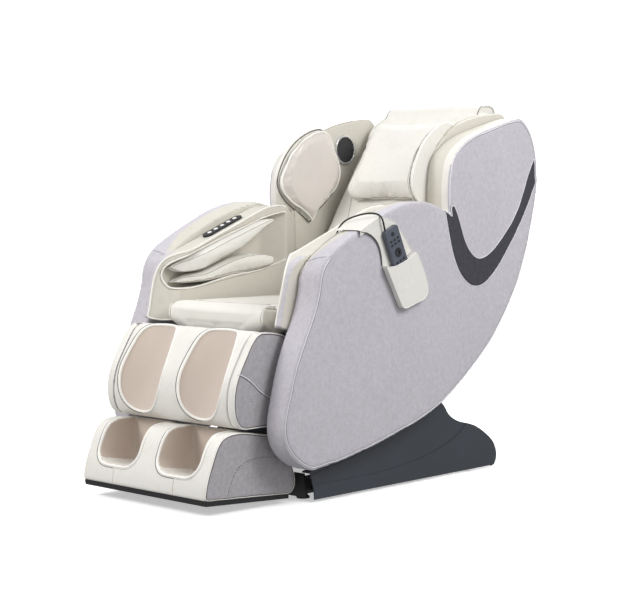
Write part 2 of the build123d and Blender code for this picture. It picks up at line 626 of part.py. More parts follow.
POUCH_BACK, POUCH_FRONT = PANEL_OUT + 0.4, REMOTE_BACK + REMOTE_T + 2.2
POUCH = [(-99, 623), (-74, 620), (-42, 627), (-6, 641), (26, 659)]
with BuildPart() as remote_pouch:
    prism(POUCH_BACK, POUCH_FRONT, POUCH, [(26, 659), (50, 622), (71, 578), (77, 552), (70, 536), (52, 526)],
          [(52, 526), (-12, 507)], [(-12, 507), (-25, 507), (-36, 518)], [(-36, 518), (-99, 623)])
    with BuildSketch(REMOTE.offset(-0.6)):
        with Locations((0, -0.4)):
            RectangleRounded(REMOTE_W + 2, REMOTE_L + 2, REMOTE_R + 1)
        with Locations((0, 60)):
            Rectangle(REMOTE_W + 2, REMOTE_L)
    extrude(amount=REMOTE_T + 1.4, mode=Mode.SUBTRACT)
save(remote_pouch.part, "remote_pouch")

STRAP_FRONT, STRAP_REAR = -186, -100
STRAP_T = 2.6
strap_top = [(y, z + STRAP_T) for y, z in CREST[2:7]]
strap_low = [(y, z - 14) for y, z in reversed(CREST[2:7])]
with BuildPart() as pouch_strap:
    # a band over the arm's crest, then a thin tongue down to the pouch
    prism(PANEL_IN + 4, PANEL_OUT + 1.4, strap_top, [strap_top[-1], strap_low[0]], strap_low,
          [strap_low[-1], strap_top[0]])
    block((PANEL_IN, PANEL_OUT + 3), (STRAP_FRONT, STRAP_REAR), (560, 900), mode=Mode.INTERSECT)
    hem = [(y, z + 0.6) for y, z in POUCH]
    prism(PANEL_OUT + 0.4, PANEL_OUT + 1.4, [(-186, 716), (-151, 709), (-118, 686), (-104, 658), hem[0]], hem,
          [hem[-1], (-8, 703), (-48, 740), (-100, 752)], [(-100, 752), (-186, 716)])
    prism(PANEL_IN - 5, PANEL_OUT + 0.3, CREST, WING, REAR, UNDER, FRONT, mode=Mode.SUBTRACT)
save(pouch_strap.part, "pouch_strap")


def cord_radii(route):
    """Arc radius at each inner point: 0.45 of its shorter run over the tangent of half the turn."""
    points = [Vector(*p) for p in route]
    radii = []
    for before, here, after in zip(points, points[1:], points[2:]):
        run_in, run_out = here - before, after - here
        turn = radians(run_in.get_angle(run_out))
        radii.append(0.45 * min(run_in.length, run_out.length) / tan(turn / 2))
    return radii


radii = cord_radii(CORD_ROUTE)
print("cord radii", [round(r) for r in radii])
with BuildPart() as remote_cord:
    with BuildLine() as cord_path:
        FilletPolyline(*CORD_ROUTE, radius=radii)
    with BuildSketch(Plane(cord_path.line @ 0, z_dir=cord_path.line % 0)):
        Circle(CORD_R)
    sweep(path=cord_path.line)
cord_length = sum(edge.length for edge in cord_path.edges())
print("cord length", round(cord_length, 1), "volume against section times length",
      round(remote_cord.part.volume / (pi * CORD_R ** 2 * cord_length), 4))
save(remote_cord.part, "remote_cord")

# ---------------------------------------------------------------- leg rest
CORE_FRONT = [(-400, 207), (-468, 216), (-478, 275), (-466, 340), (-436, 410), (-424, 434), (-398, 434)]
CALF_FACE = [(-484, 212), (-524, 224), (-541, 275), (-528, 345), (-496, 402), (-470, 440), (-450, 456),
             (-430, 459)]
CALF_TOP = [(-430, 459), (-408, 452), (-395, 436)]

with BuildPart() as calf_shell:
    plate(-CALF_CORE, CALF_CORE, *CORE_FRONT)
    plate(-34, 34, (-460, 310), (-460, 440), (-380, 440), (-380, 310), mode=Mode.SUBTRACT)
    for x0, x1 in both(14, 20):
        plate(x0, x1, (-402, 338), (-434, 338), (-434, 412), (-402, 412))
    for x0, x1 in both(20, 35):
        plate(x0, x1, (-402, 400), (-434, 400), (-434, 412), (-402, 412))
    rod(PIN_R, -22, 22, LEG_EYE)
    rod(SHAFT_R + RUNNING, -CALF_CORE - 5, CALF_CORE + 5, (LEG_Y, LEG_Z), mode=Mode.SUBTRACT)
    with BuildSketch(Plane.XY.offset(200)):
        with GridLocations(2 * SLIDE_X, 0, 2, 1):
            with Locations((0, SLIDE_Y)):
                Circle(SLIDE_R + SLIDING)
    extrude(amount=172, mode=Mode.SUBTRACT)
save(calf_shell.part, "calf_shell")

CHANNEL_LOW, CHANNEL_HIGH = (-553, 250), (-470, 452)   # the front face's line, (y, z)
channel_dir = Vector(0, CHANNEL_HIGH[0] - CHANNEL_LOW[0], CHANNEL_HIGH[1] - CHANNEL_LOW[1]).normalized()
channel_out = CHANNEL_R - CHANNEL_DEPTH
channel_foot = Vector(0, *CHANNEL_LOW) - channel_dir * 120
channel_foot += Vector(0, -channel_dir.Z, channel_dir.Y) * channel_out
with BuildPart() as calf_pad:
    prism(-CALF_CORE + 0.5, CALF_CORE - 0.5, CALF_FACE, CALF_TOP, [(-395, 436), (-395, 204)],
          [(-395, 204), (-484, 212)])
    plate(-CALF_CORE, CALF_CORE, *CORE_FRONT[1:-1], (-380, 437), (-380, 200), (-440, 200), mode=Mode.SUBTRACT)
    for x in (-CHANNEL_X, CHANNEL_X):
        with BuildSketch(Plane(channel_foot + Vector(x, 0, 0), x_dir=(1, 0, 0), z_dir=channel_dir)):
            Circle(CHANNEL_R)
        extrude(amount=460, mode=Mode.SUBTRACT)
    rod(SHAFT_R + 2, -CALF_HALF, CALF_HALF, (LEG_Y, LEG_Z), mode=Mode.SUBTRACT)
save(calf_pad.part, "calf_pad")

COVER_LINE = [(-430, 459), (-396, 456), (-352, 446)], [(-352, 446), (-340, 330), (-350, 212)]
COVER_SKIN = 6
with BuildPart() as calf_side_cover:
    prism(CALF_CORE, CALF_HALF, CALF_FACE, *COVER_LINE, [(-350, 212), (-484, 212)])
    # room for the clevis plate, which swings through the rear and the top
    plate(CALF_CORE - 1, CALF_HALF - COVER_SKIN, (-445, 352), (-300, 300), (-300, 470), (-445, 470),
          mode=Mode.SUBTRACT)
save_both(calf_side_cover.part, "calf_side_covers")

# ---------------------------------------------------------------- foot rest
WELL_R = 46                  # the wells' rounded lower corners
WELL_SHIFT = [(0, 1), (-1, 1), (-1, 1), (-1, 0), (0, 0)]
FOOT_FACE = [(-634, 44), (-626, 92), (-608, 138), (-590, 176), (-572, 197)]
FOOT_TOP = [(-572, 197), (-540, 205), (-440, 195), (-396, 188)]
FOOT_REAR = [(-396, 188), (-350, 140), (-318, 96), (-307, 60)]
WELL = [(-660, 100), (-505, 76), (-486, 92), (-476, 240), (-660, 240)]


def well(x, inset):
    """Cutter for one foot well, open to the front and the top, its floor rounded up into its walls."""
    with BuildPart() as cutter:
        plate(x - WELL_HALF + inset, x + WELL_HALF - inset,
              *((y + dy * inset, z + dz * inset) for (y, z), (dy, dz) in zip(WELL, WELL_SHIFT)))
        floor = cutter.faces().sort_by(Axis.Z)[:2]
        fillet(floor.edges().filter_by(Axis.X, reverse=True), WELL_R - inset)
    return cutter.part


with BuildPart() as foot_block:
    prism(-FOOT_HALF, FOOT_HALF, FOOT_FACE, FOOT_TOP, FOOT_REAR, [FOOT_REAR[-1], (-309, 38)],
          [(-309, 38), (-326, 24)], [(-326, 24), (-634, 44)])

foot_wells = [well(x, 0) for x in (-CHANNEL_X, CHANNEL_X)]
with BuildPart() as foot_shell:
    add(foot_block.part)
    for cutter in foot_wells:
        add(cutter, mode=Mode.SUBTRACT)
    with BuildSketch(Plane.XY.offset(120)):
        with GridLocations(2 * SLIDE_X, 0, 2, 1):
            with Locations((0, SLIDE_Y)):
                Circle(SLIDE_R)
    extrude(amount=120, mode=Mode.SUBTRACT)
save(foot_shell.part, "foot_shell")

LINER_T = 5
liner_space = well(CHANNEL_X, LINER_T)
with BuildPart() as foot_liner:
    add(foot_wells[1])
    add(foot_block.part, mode=Mode.INTERSECT)
    add(liner_space, mode=Mode.SUBTRACT)
save_both(foot_liner.part, "foot_liners")

with BuildPart() as foot_base_plate:
    plate(-FOOT_HALF + 3, FOOT_HALF - 3, (-331, 12), (-628, 30), (-631, 43.7), (-331, 24))
save(foot_base_plate.part, "foot_base_plate")

with BuildPart() as foot_slide_tubes:
    with BuildSketch(Plane.XY.offset(120)):
        with GridLocations(2 * SLIDE_X, 0, 2, 1):
            with Locations((0, SLIDE_Y)):
                Circle(SLIDE_R)
                Circle(SLIDE_R - 2, mode=Mode.SUBTRACT)
    extrude(amount=246)
save(foot_slide_tubes.part, "foot_slide_tubes")
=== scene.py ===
import math

import bmesh
import bpy
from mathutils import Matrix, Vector
from mathutils.bvhtree import BVHTree
from mathutils.kdtree import KDTree


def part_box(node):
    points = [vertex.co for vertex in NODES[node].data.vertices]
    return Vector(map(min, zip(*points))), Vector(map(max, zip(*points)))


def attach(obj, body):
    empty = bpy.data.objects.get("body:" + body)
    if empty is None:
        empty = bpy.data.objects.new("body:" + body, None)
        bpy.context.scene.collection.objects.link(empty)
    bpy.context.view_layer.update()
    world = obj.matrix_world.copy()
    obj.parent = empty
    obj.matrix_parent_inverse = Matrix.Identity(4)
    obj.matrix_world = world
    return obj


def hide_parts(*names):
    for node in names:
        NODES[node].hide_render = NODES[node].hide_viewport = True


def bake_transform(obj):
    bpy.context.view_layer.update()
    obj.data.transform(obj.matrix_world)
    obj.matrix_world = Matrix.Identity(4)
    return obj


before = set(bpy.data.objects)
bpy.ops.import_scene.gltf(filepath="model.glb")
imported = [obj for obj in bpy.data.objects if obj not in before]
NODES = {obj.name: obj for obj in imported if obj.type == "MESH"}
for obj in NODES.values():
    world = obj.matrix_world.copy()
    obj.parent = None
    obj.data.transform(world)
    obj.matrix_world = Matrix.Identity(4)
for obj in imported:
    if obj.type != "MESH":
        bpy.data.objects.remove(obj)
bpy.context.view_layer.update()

# ---------------------------------------------------------------- camera, light and floor
CAMERA_AT = (3.1545, -3.3277, 0.7950)
CAMERA_AZIMUTH, CAMERA_PITCH = math.radians(43.341), math.radians(3.528)
CAMERA_LENS = 91.97
SKY_BELOW, SKY_ABOVE = 0.34, 0.72       # strength of the sky under and over the horizon band
HORIZON = 0.7                           # half height of that band, as the z of a unit direction
PAPER_GLOW, BACKDROP_GLOW = 0.45, 1.0
PAPER_WHITE = (0.95, 0.95, 0.95)
PAPER_SIZE, WALL_RADIUS, WALL_HEIGHT, WALL_DROP = 60, 26, 30, 0.5
LAMPS = [                               # name, place, aim, diameter, power, colour
    ("key", (-1.6, -3.6, 3.0), (0, 0, 0.5), 1.8, 108, (1, 0.99, 0.98)),
    ("side", (2.9, 0.3, 2.7), (0.3, 0.1, 0.8), 1.6, 64, (1, 1, 1)),
    ("rear", (-1.2, 3.2, 3.0), (0, 0.2, 0.8), 2.0, 45, (1, 1, 1)),
]


def make_camera():
    """The camera at the picture's viewing angle."""
    camera = bpy.data.objects.new("camera", bpy.data.cameras.new("camera"))
    camera.data.lens = CAMERA_LENS
    camera.data.sensor_width = 36
    camera.location = CAMERA_AT
    forward = Vector((-math.sin(CAMERA_AZIMUTH) * math.cos(CAMERA_PITCH),
                      math.cos(CAMERA_AZIMUTH) * math.cos(CAMERA_PITCH), -math.sin(CAMERA_PITCH)))
    camera.rotation_mode = "QUATERNION"
    camera.rotation_quaternion = forward.to_track_quat("-Z", "Y")
    bpy.context.collection.objects.link(camera)
    bpy.context.scene.camera = camera


def area_light(name, at, towards, size, power, color):
    light = bpy.data.lights.new(name, "AREA")
    light.shape, light.size, light.energy, light.color = "DISK", size, power, color
    lamp = bpy.data.objects.new(name, light)
    lamp.location = at
    lamp.rotation_mode = "QUATERNION"
    lamp.rotation_quaternion = (Vector(towards) - Vector(at)).to_track_quat("-Z", "Y")
    bpy.context.collection.objects.link(lamp)


def make_studio():
    """A pale floor, a bright even sky and three soft lamps."""
    bpy.context.scene.view_settings.view_transform = "Standard"
    world = bpy.data.worlds.new("studio")
    bpy.context.scene.world = world
    world.use_nodes = True
    background = world.node_tree.nodes["Background"]
    # the sky is brighter from above than from below
    tree = world.node_tree
    axes = tree.nodes.new("ShaderNodeSeparateXYZ")
    tree.links.new(tree.nodes.new("ShaderNodeTexCoord").outputs["Generated"], axes.inputs[0])
    fade = tree.nodes.new("ShaderNodeMapRange")
    for socket, value in (("From Min", -HORIZON), ("From Max", HORIZON),
                          ("To Min", SKY_BELOW), ("To Max", SKY_ABOVE)):
        fade.inputs[socket].default_value = value
    tree.links.new(axes.outputs["Z"], fade.inputs["Value"])
    background.inputs["Color"].default_value = (1, 1, 1, 1)
    tree.links.new(fade.outputs["Result"], background.inputs["Strength"])
    for lamp in LAMPS:
        area_light(*lamp)
    bpy.ops.mesh.primitive_plane_add(size=PAPER_SIZE, location=(0, 0, 0))
    floor = bpy.context.object
    floor.name = "floor"
    paper = Nodes("floor_paper", PAPER_WHITE, 0.9, Emission_Strength=PAPER_GLOW)
    paper.set("Emission Color", (1, 1, 1, 1))
    floor.data.materials.append(paper.mat)
    bpy.ops.mesh.primitive_cylinder_add(vertices=96, radius=WALL_RADIUS, depth=WALL_HEIGHT,
                                        location=(0, 0, WALL_HEIGHT / 2 - WALL_DROP), end_fill_type="NOTHING")
    wall = bpy.context.object
    wall.name = "backdrop"
    glow = Nodes("backdrop_paper", PAPER_WHITE, 0.9, Emission_Strength=BACKDROP_GLOW)
    glow.set("Emission Color", (1, 1, 1, 1))
    wall.data.materials.append(glow.mat)
    # both papers are only looked at: the sky lights the chair
    for sheet in (floor, wall):
        sheet.visible_diffuse = False
        sheet.visible_glossy = False
    wall.visible_shadow = False


# ---------------------------------------------------------------- materials
class Nodes:
    """Short names for building one material's node tree."""

    def __init__(self, name, color, rough, **sockets):
        self.mat = bpy.data.materials.new(name)
        self.mat.use_nodes = True
        self.tree = self.mat.node_tree
        self.shader = self.tree.nodes["Principled BSDF"]
        self.set("Base Color", (*color, 1))
        self.set("Roughness", rough)
        for key, value in sockets.items():
            self.set(key.replace("_", " "), value)
        self.place = self.add("ShaderNodeTexCoord").outputs["Object"]

    def set(self, socket, value):
        self.shader.inputs[socket].default_value = value

    def add(self, kind, **settings):
        node = self.tree.nodes.new(kind)
        for key, value in settings.items():
            setattr(node, key, value)
        return node

    def link(self, source, target):
        self.tree.links.new(source, target)

    def to_shader(self, source, socket):
        self.link(source, self.shader.inputs[socket])

    def math(self, operation, first, second=None):
        node = self.add("ShaderNodeMath", operation=operation)
        for socket, value in zip(node.inputs, (first, second)):
            if value is None:
                continue
            if isinstance(value, (int, float)):
                socket.default_value = value
            else:
                self.link(value, socket)
        return node.outputs[0]

    def noise(self, scale, detail=2.0, rough=0.5):
        node = self.add("ShaderNodeTexNoise")
        node.inputs["Scale"].default_value = scale
        node.inputs["Detail"].default_value = detail
        node.inputs["Roughness"].default_value = rough
        self.link(self.place, node.inputs["Vector"])
        return node.outputs[0]

    def cells(self, scale, feature="F1"):
        node = self.add("ShaderNodeTexVoronoi", feature=feature)
        node.inputs["Scale"].default_value = scale
        self.link(self.place, node.inputs["Vector"])
        return node.outputs["Distance"]

    def ramp(self, source, *stops):
        node = self.add("ShaderNodeValToRGB")
        elements = node.color_ramp.elements
        while len(elements) < len(stops):
            elements.new(0.5)
        for element, (position, color) in zip(elements, stops):
            element.position = position
            element.color = (*color, 1) if len(color) == 3 else color
        self.link(source, node.inputs[0])
        return node.outputs[0]

    def mix(self, amount, first, second, blend="MIX"):
        node = self.add("ShaderNodeMix", data_type="RGBA", blend_type=blend)
        for socket, value in ((node.inputs[0], amount), (node.inputs[6], first), (node.inputs[7], second)):
            if hasattr(value, "is_output"):
                self.link(value, socket)
            else:
                socket.default_value = value
        return node.outputs[2]

    def span(self, source, low, high):
        """Map 0..1 to low..high."""
        return self.math("ADD", self.math("MULTIPLY", source, high - low), low)

    def bump(self, *layers):
        """Stack (height, strength, distance) layers into the normal."""
        normal = None
        for height, strength, distance in layers:
            node = self.add("ShaderNodeBump")
            node.inputs["Strength"].default_value = strength
            node.inputs["Distance"].default_value = distance
            self.link(height, node.inputs["Height"])
            if normal is not None:
                self.link(normal, node.inputs["Normal"])
            normal = node.outputs[0]
        self.to_shader(normal, "Normal")


def shade(color, factor):
    return tuple(min(1.0, c * factor) for c in color)


def woven(name, color, thread, contrast, bump, sheen):
    """Plain weave of threads this far apart, mottled as yarn is, in metres."""
    made = Nodes(name, color, 0.88, Sheen_Weight=sheen, Sheen_Roughness=0.5)
    axes = made.add("ShaderNodeSeparateXYZ")
    made.link(made.place, axes.inputs[0])
    waves = [made.math("SINE", made.math("MULTIPLY", axis, 2 * math.pi / thread)) for axis in axes.outputs]
    crossings = [made.math("MULTIPLY", waves[i], waves[j]) for i, j in ((0, 1), (1, 2), (0, 2))]
    weave = made.math("ADD", made.math("ADD", crossings[0], crossings[1]), crossings[2])
    yarn = made.noise(0.45 / thread, 3, 0.7)
    slub = made.noise(0.12 / thread, 2, 0.6)
    wash = made.noise(5, 2)
    tone = made.math("ADD", made.math("MULTIPLY", yarn, 0.62), made.math("MULTIPLY", slub, 0.38))
    mottled = made.ramp(tone, (0.36, shade(color, 1 - contrast)), (0.5, color),
                        (0.64, shade(color, 1 + contrast)))
    washed = made.ramp(wash, (0.25, (0.955, 0.95, 0.955)), (0.75, (1, 1, 1)))
    made.to_shader(made.mix(1.0, mottled, washed, "MULTIPLY"), "Base Color")
    made.to_shader(made.span(yarn, 0.80, 0.95), "Roughness")
    made.bump((weave, bump, thread * 0.35), (yarn, bump * 0.8, thread * 0.5))
    return made.mat


def leather(name, color, rough=0.42, grain=700, depth=0.22):
    """Soft synthetic leather: fine pebbled grain, faint creases with painted shade down in them, and uneven
    gloss.
    """
    made = Nodes(name, color, rough, Specular_IOR_Level=0.42, Sheen_Weight=0.08)
    pebble = made.cells(grain)
    crease = made.noise(38, 5, 0.62)
    wash = made.noise(7, 3)
    tinted = made.ramp(wash, (0.25, shade(color, 0.965)), (0.75, shade(color, 1.015)))
    # darker colour where the crease noise is low, in the valleys of the crease bump: painted shade in the
    # creases
    crease_shade = made.ramp(crease, (0.30, (0.955, 0.95, 0.935)), (0.48, (1, 1, 1)))
    made.to_shader(made.mix(1.0, tinted, crease_shade, "MULTIPLY"), "Base Color")
    made.to_shader(made.span(crease, rough - 0.07, rough + 0.12), "Roughness")
    made.bump((wash, 0.12, 0.004), (crease, 0.10, 0.0015), (pebble, depth, 0.0004))
    return made.mat


def stretch_mesh(name, color):
    """Fine knitted mesh over foam, with rows of tiny holes."""
    made = Nodes(name, color, 0.8, Sheen_Weight=0.25, Sheen_Roughness=0.4)
    holes = made.cells(420)
    wash = made.noise(9, 3)
    tinted = made.ramp(wash, (0.25, shade(color, 0.95)), (0.75, shade(color, 1.02)))
    dots = made.ramp(holes, (0.12, (0.90, 0.87, 0.85)), (0.42, (1, 1, 1)))
    made.to_shader(made.mix(1.0, tinted, dots, "MULTIPLY"), "Base Color")
    made.to_shader(made.span(wash, 0.72, 0.88), "Roughness")
    made.bump((wash, 0.10, 0.004), (holes, 0.30, 0.0006))
    return made.mat


def moulded(name, color, rough, grain=1500, depth=0.12, worn=1.25):
    """Moulded plastic: fine spark-eroded grain, faint flow marks and paler rubbed patches."""
    made = Nodes(name, color, rough)
    speck = made.noise(grain, 2, 0.6)
    flow = made.noise(9, 3)
    rubbed = made.noise(28, 4, 0.65)
    base = made.ramp(flow, (0.3, shade(color, 0.92)), (0.7, shade(color, 1.08)))
    marks = made.ramp(rubbed, (0.60, (1, 1, 1)), (0.78, (worn, worn, worn)))
    made.to_shader(made.mix(1.0, base, marks, "MULTIPLY"), "Base Color")
    made.to_shader(made.span(rubbed, rough - 0.06, rough + 0.10), "Roughness")
    made.bump((speck, depth, 0.0004))
    return made.mat


def metal(name, color, rough, brushed=300):
    """Turned or brushed metal with fine lines round the part and small stains."""
    made = Nodes(name, color, rough, Metallic=1.0)
    stretch = made.add("ShaderNodeMapping")
    stretch.inputs["Scale"].default_value = (0.05, 1, 1)
    made.link(made.place, stretch.inputs["Vector"])
    made.place = stretch.outputs[0]
    lines = made.noise(brushed, 3, 0.7)
    stain = made.noise(14, 3)
    made.to_shader(made.ramp(stain, (0.3, shade(color, 0.86)), (0.7, color)), "Base Color")
    made.to_shader(made.span(lines, rough - 0.08, rough + 0.12), "Roughness")
    made.bump((lines, 0.10, 0.0003))
    return made.mat


def perforated(name, color):
    """Speaker mesh: rows of round holes in dark metal."""
    made = Nodes(name, color, 0.45)
    holes = made.cells(520)
    made.to_shader(made.ramp(holes, (0.25, shade(color, 0.2)), (0.5, shade(color, 2.2))), "Base Color")
    made.to_shader(made.span(holes, 0.35, 0.7), "Roughness")
    made.bump((holes, 0.8, 0.0012))
    return made.mat


LILAC = (0.575, 0.552, 0.600)
CREAM = (0.785, 0.770, 0.722)
BEIGE = (0.640, 0.616, 0.546)
MAT = {
    "panel": woven("panel_weave", LILAC, 0.0016, 0.12, 0.35, 0.3),
    "stripe": woven("stripe_weave", (0.040, 0.040, 0.052), 0.0018, 0.3, 0.4, 0.1),
    "grey": woven("grey_weave", (0.420, 0.404, 0.428), 0.0016, 0.18, 0.35, 0.25),
    "cream": leather("cream_leather", CREAM),
    "beige": leather("beige_leather", BEIGE, 0.46),
    "pale_blush": stretch_mesh("pale_blush_mesh", (0.700, 0.652, 0.612)),
    # the same blush mesh as pale_blush, made darker: painted shade for the recessed calf channels and foot
    # wells
    "channel": stretch_mesh("blush_mesh", (0.590, 0.502, 0.438)),
    "slate": moulded("slate_plastic", (0.036, 0.042, 0.054), 0.42),
    "black": moulded("black_plastic", (0.012, 0.012, 0.014), 0.5),
    "gloss": moulded("remote_plastic", (0.080, 0.092, 0.122), 0.32, 2200, 0.05),
    "keys": moulded("key_rubber", (0.010, 0.011, 0.014), 0.45, 1800, 0.08),
    "rubber": moulded("rubber", (0.018, 0.018, 0.018), 0.8, 900, 0.3),
    "roller": moulded("roller_rubber", (0.10, 0.07, 0.05), 0.65, 900, 0.2),
    "frame": moulded("powder_coat", (0.028, 0.028, 0.031), 0.45, 1100, 0.35),
    "steel": metal("bright_steel", (0.62, 0.63, 0.65), 0.3),
    "silver": metal("silver_ring", (0.78, 0.79, 0.81), 0.25),
    "speaker": perforated("speaker_mesh", (0.012, 0.012, 0.014)),
    "button": moulded("button_white", (0.90, 0.90, 0.91), 0.3, 1500, 0.03, 1.02),
    "piping": leather("piping_cream", (0.90, 0.885, 0.84), 0.4, 1500, 0.1),
    "pale_piping": woven("piping_lilac", (0.80, 0.79, 0.82), 0.0012, 0.06, 0.2, 0.2),
    "seam": moulded("seam_thread", (0.075, 0.065, 0.060), 0.85, 1500, 0.1),
    "grey_seam": moulded("seam_grey", (0.30, 0.29, 0.31), 0.85, 1500, 0.1),
    "tan_seam": moulded("seam_tan", (0.36, 0.32, 0.26), 0.85, 1500, 0.1),
}

PLAIN_FINISH = {
    "base_cover_left": "slate", "base_cover_right": "slate", "base_front_cover": "black",
    "base_frame": "frame", "base_feet": "rubber", "tilt_shaft": "steel", "power_inlet": "black",
    "power_rocker": "black", "air_pump": "black", "control_box": "black", "tilt_actuator_tube": "black",
    "tilt_actuator_rod": "steel", "leg_actuator_tube": "black", "leg_actuator_rod": "steel",
    "seat_frame": "frame", "leg_shaft": "steel", "control_strip": "black", "speaker_rings": "silver",
    "speaker_grilles": "speaker", "back_rails": "steel", "back_shell": "slate", "carriage_frame": "frame",
    "massage_rollers": "roller", "walking_shaft": "steel", "remote_body": "gloss",
    "remote_power_key": "keys", "remote_wheel_key": "keys", "remote_small_keys": "keys",
    "calf_shell": "black", "foot_base_plate": "black", "foot_slide_tubes": "steel",
    **{f"arm_button_{n}": "button" for n in range(1, 6)},
}


def finish_plain_nodes():
    for node, finish in PLAIN_FINISH.items():
        mesh = NODES[node].data
        mesh.materials.clear()
        mesh.materials.append(MAT[finish])


# ---------------------------------------------------------------- mesh tools
SEAM_STEP = 0.005            # spacing of the points along a seam


def cad_copy(*nodes):
    """One closed mesh with the solids of these CAD nodes."""
    joined = bmesh.new()
    for node in nodes:
        joined.from_mesh(NODES[node].data)
    bmesh.ops.remove_doubles(joined, verts=joined.verts, dist=1e-5)
    bmesh.ops.recalc_face_normals(joined, faces=joined.faces)
    mesh = bpy.data.meshes.new("copy")
    joined.to_mesh(mesh)
    joined.free()
    return mesh


def evaluated_mesh(piece):
    graph = bpy.context.evaluated_depsgraph_get()
    return bpy.data.meshes.new_from_object(piece.evaluated_get(graph))


def settle(piece):
    """Apply a piece's modifiers."""
    mesh = evaluated_mesh(piece)
    piece.modifiers.clear()
    piece.data = mesh
    for polygon in mesh.polygons:
        polygon.use_smooth = True


def soft(name, nodes, finish, voxel=0.005, rounds=5, swell=0.0, stands_for=None):
    """A soft version of CAD solids: remeshed evenly, its edges rounded, its faces pushed out by swell."""
    piece = bpy.data.objects.new(name, cad_copy(*nodes))
    bpy.context.collection.objects.link(piece)
    remesh = piece.modifiers.new("remesh", "REMESH")
    remesh.mode, remesh.voxel_size, remesh.use_smooth_shade = "VOXEL", voxel, True
    smooth = piece.modifiers.new("smooth", "SMOOTH")
    smooth.factor, smooth.iterations = 0.5, rounds
    if swell:
        push = piece.modifiers.new("push", "DISPLACE")
        push.strength, push.mid_level = swell, 0.0
    settle(piece)
    piece.data.materials.clear()
    for one in [finish] if isinstance(finish, str) else finish:
        piece.data.materials.append(MAT[one])
    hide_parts(*(stands_for or nodes))
    return piece


def puff(piece, pressure, cap, frames=20):
    """Swell a cushion with a short cloth simulation; no point moves further than cap."""
    rest = [v.co.copy() for v in piece.data.vertices]
    cloth = piece.modifiers.new("cloth", "CLOTH")
    cloth.settings.use_pressure = True
    cloth.settings.uniform_pressure_force = pressure
    cloth.settings.effector_weights.gravity = 0
    cloth.settings.quality = 4
    cloth.settings.bending_stiffness = 0.5
    cloth.point_cache.frame_end = frames
    for step in range(1, frames + 1):
        bpy.context.scene.frame_set(step)
    mesh = evaluated_mesh(piece)
    piece.modifiers.clear()
    for vertex, before, after in zip(piece.data.vertices, rest, mesh.vertices):
        move = after.co - before
        if move.length > cap:
            move *= cap / move.length
        vertex.co = before + move
    bpy.data.meshes.remove(mesh)
    bpy.context.scene.frame_set(1)
    smooth = piece.modifiers.new("smooth", "SMOOTH")
    smooth.factor, smooth.iterations = 0.5, 2
    settle(piece)


def paint(piece, index, test):
    """Give faces that pass test(centre, normal) the material slot index."""
    for polygon in piece.data.polygons:
        if test(polygon.center, polygon.normal):
            polygon.material_index = index


def feature_loops(mesh, angle, keep):
    """Chains of points along the sharp edges of a mesh whose middle passes keep."""
    work = bmesh.new()
    work.from_mesh(mesh)
    sharp = {}
    for edge in work.edges:
        if len(edge.link_faces) == 2 and edge.calc_face_angle(0) > angle:
            a, b = (v.index for v in edge.verts)
            middle = (edge.verts[0].co + edge.verts[1].co) / 2
            if keep(middle):
                sharp.setdefault(a, set()).add(b)
                sharp.setdefault(b, set()).add(a)
    places = [v.co.copy() for v in work.verts]
    work.free()
    chains = []
    while sharp:
        ends = [v for v, near in sharp.items() if len(near) == 1]
        here = ends[0] if ends else next(iter(sharp))
        chain = [here]
        while sharp.get(here):
            step = sharp[here].pop()
            sharp[step].discard(here)
            chain.append(step)
            if not sharp[here]:
                sharp.pop(here)
            here = step
        if here in sharp and not sharp[here]:
            sharp.pop(here)
        chains.append([places[v] for v in chain])
    return sorted(chains, key=lambda c: -path_length(c))


def path_length(points):
    return sum((b - a).length for a, b in zip(points, points[1:]))


def resample(points, step):
    """Evenly spaced points along a chain, about step apart."""
    total = path_length(points)
    count = max(2, round(total / step))
    out, walked, index = [], 0.0, 0
    for n in range(count + 1):
        target = total * n / count
        while index < len(points) - 2 and walked + (points[index + 1] - points[index]).length < target:
            walked += (points[index + 1] - points[index]).length
            index += 1
        run = (points[index + 1] - points[index]).length or 1e-9
        out.append(points[index].lerp(points[index + 1], min(1.0, (target - walked) / run)))
    return out


def eased(points, rounds, closed=False):
    """Smooth a chain by averaging neighbours."""
    for _ in range(rounds):
        last = len(points)
        moved = []
        for n, here in enumerate(points):
            if not closed and n in (0, last - 1):
                moved.append(here)
            else:
                moved.append((points[n - 1] + here * 2 + points[(n + 1) % last]) / 4)
        points = moved
    return points


def tube(name, points, radius, finish, body, closed=False):
    """A thin round piece along points: piping, thread or a seam line."""
    curve = bpy.data.curves.new(name, "CURVE")
    curve.dimensions = "3D"
    curve.bevel_depth = radius
    curve.bevel_resolution = 2
    spline = curve.splines.new("POLY")
    spline.points.add(len(points) - 1)
    for point, at in zip(spline.points, points):
        point.co = (*at, 1)
    spline.use_cyclic_u = closed
    curve.materials.append(MAT[finish])
    piece = bpy.data.objects.new(name, curve)
    bpy.context.collection.objects.link(piece)
    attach(piece, body)
    return piece


def skin_of(*pieces):
    """Something to lay seam points onto."""
    joined = bmesh.new()
    for piece in pieces:
        joined.from_mesh(piece.data)
    tree = BVHTree.FromBMesh(joined)
    joined.free()
    return tree


def hugged(skin, points, lift):
    """Points moved to the nearest place on a skin, then lifted off it."""
    out = []
    for point in points:
        place, normal, _, _ = skin.find_nearest(Vector(point))
        out.append(place + normal * lift)
    return out


def crease(piece, chains, reach, depth):
    """Pull a soft surface in along its sewn lines."""
    points = [point for chain in chains for point in resample(chain, 0.003)]
    lines = KDTree(len(points))
    for index, point in enumerate(points):
        lines.insert(point, index)
    lines.balance()
    for vertex in piece.data.vertices:
        away = lines.find(vertex.co)[2]
        if away < reach:
            vertex.co -= vertex.normal * depth * (1 - away / reach) ** 2
    piece.data.update()


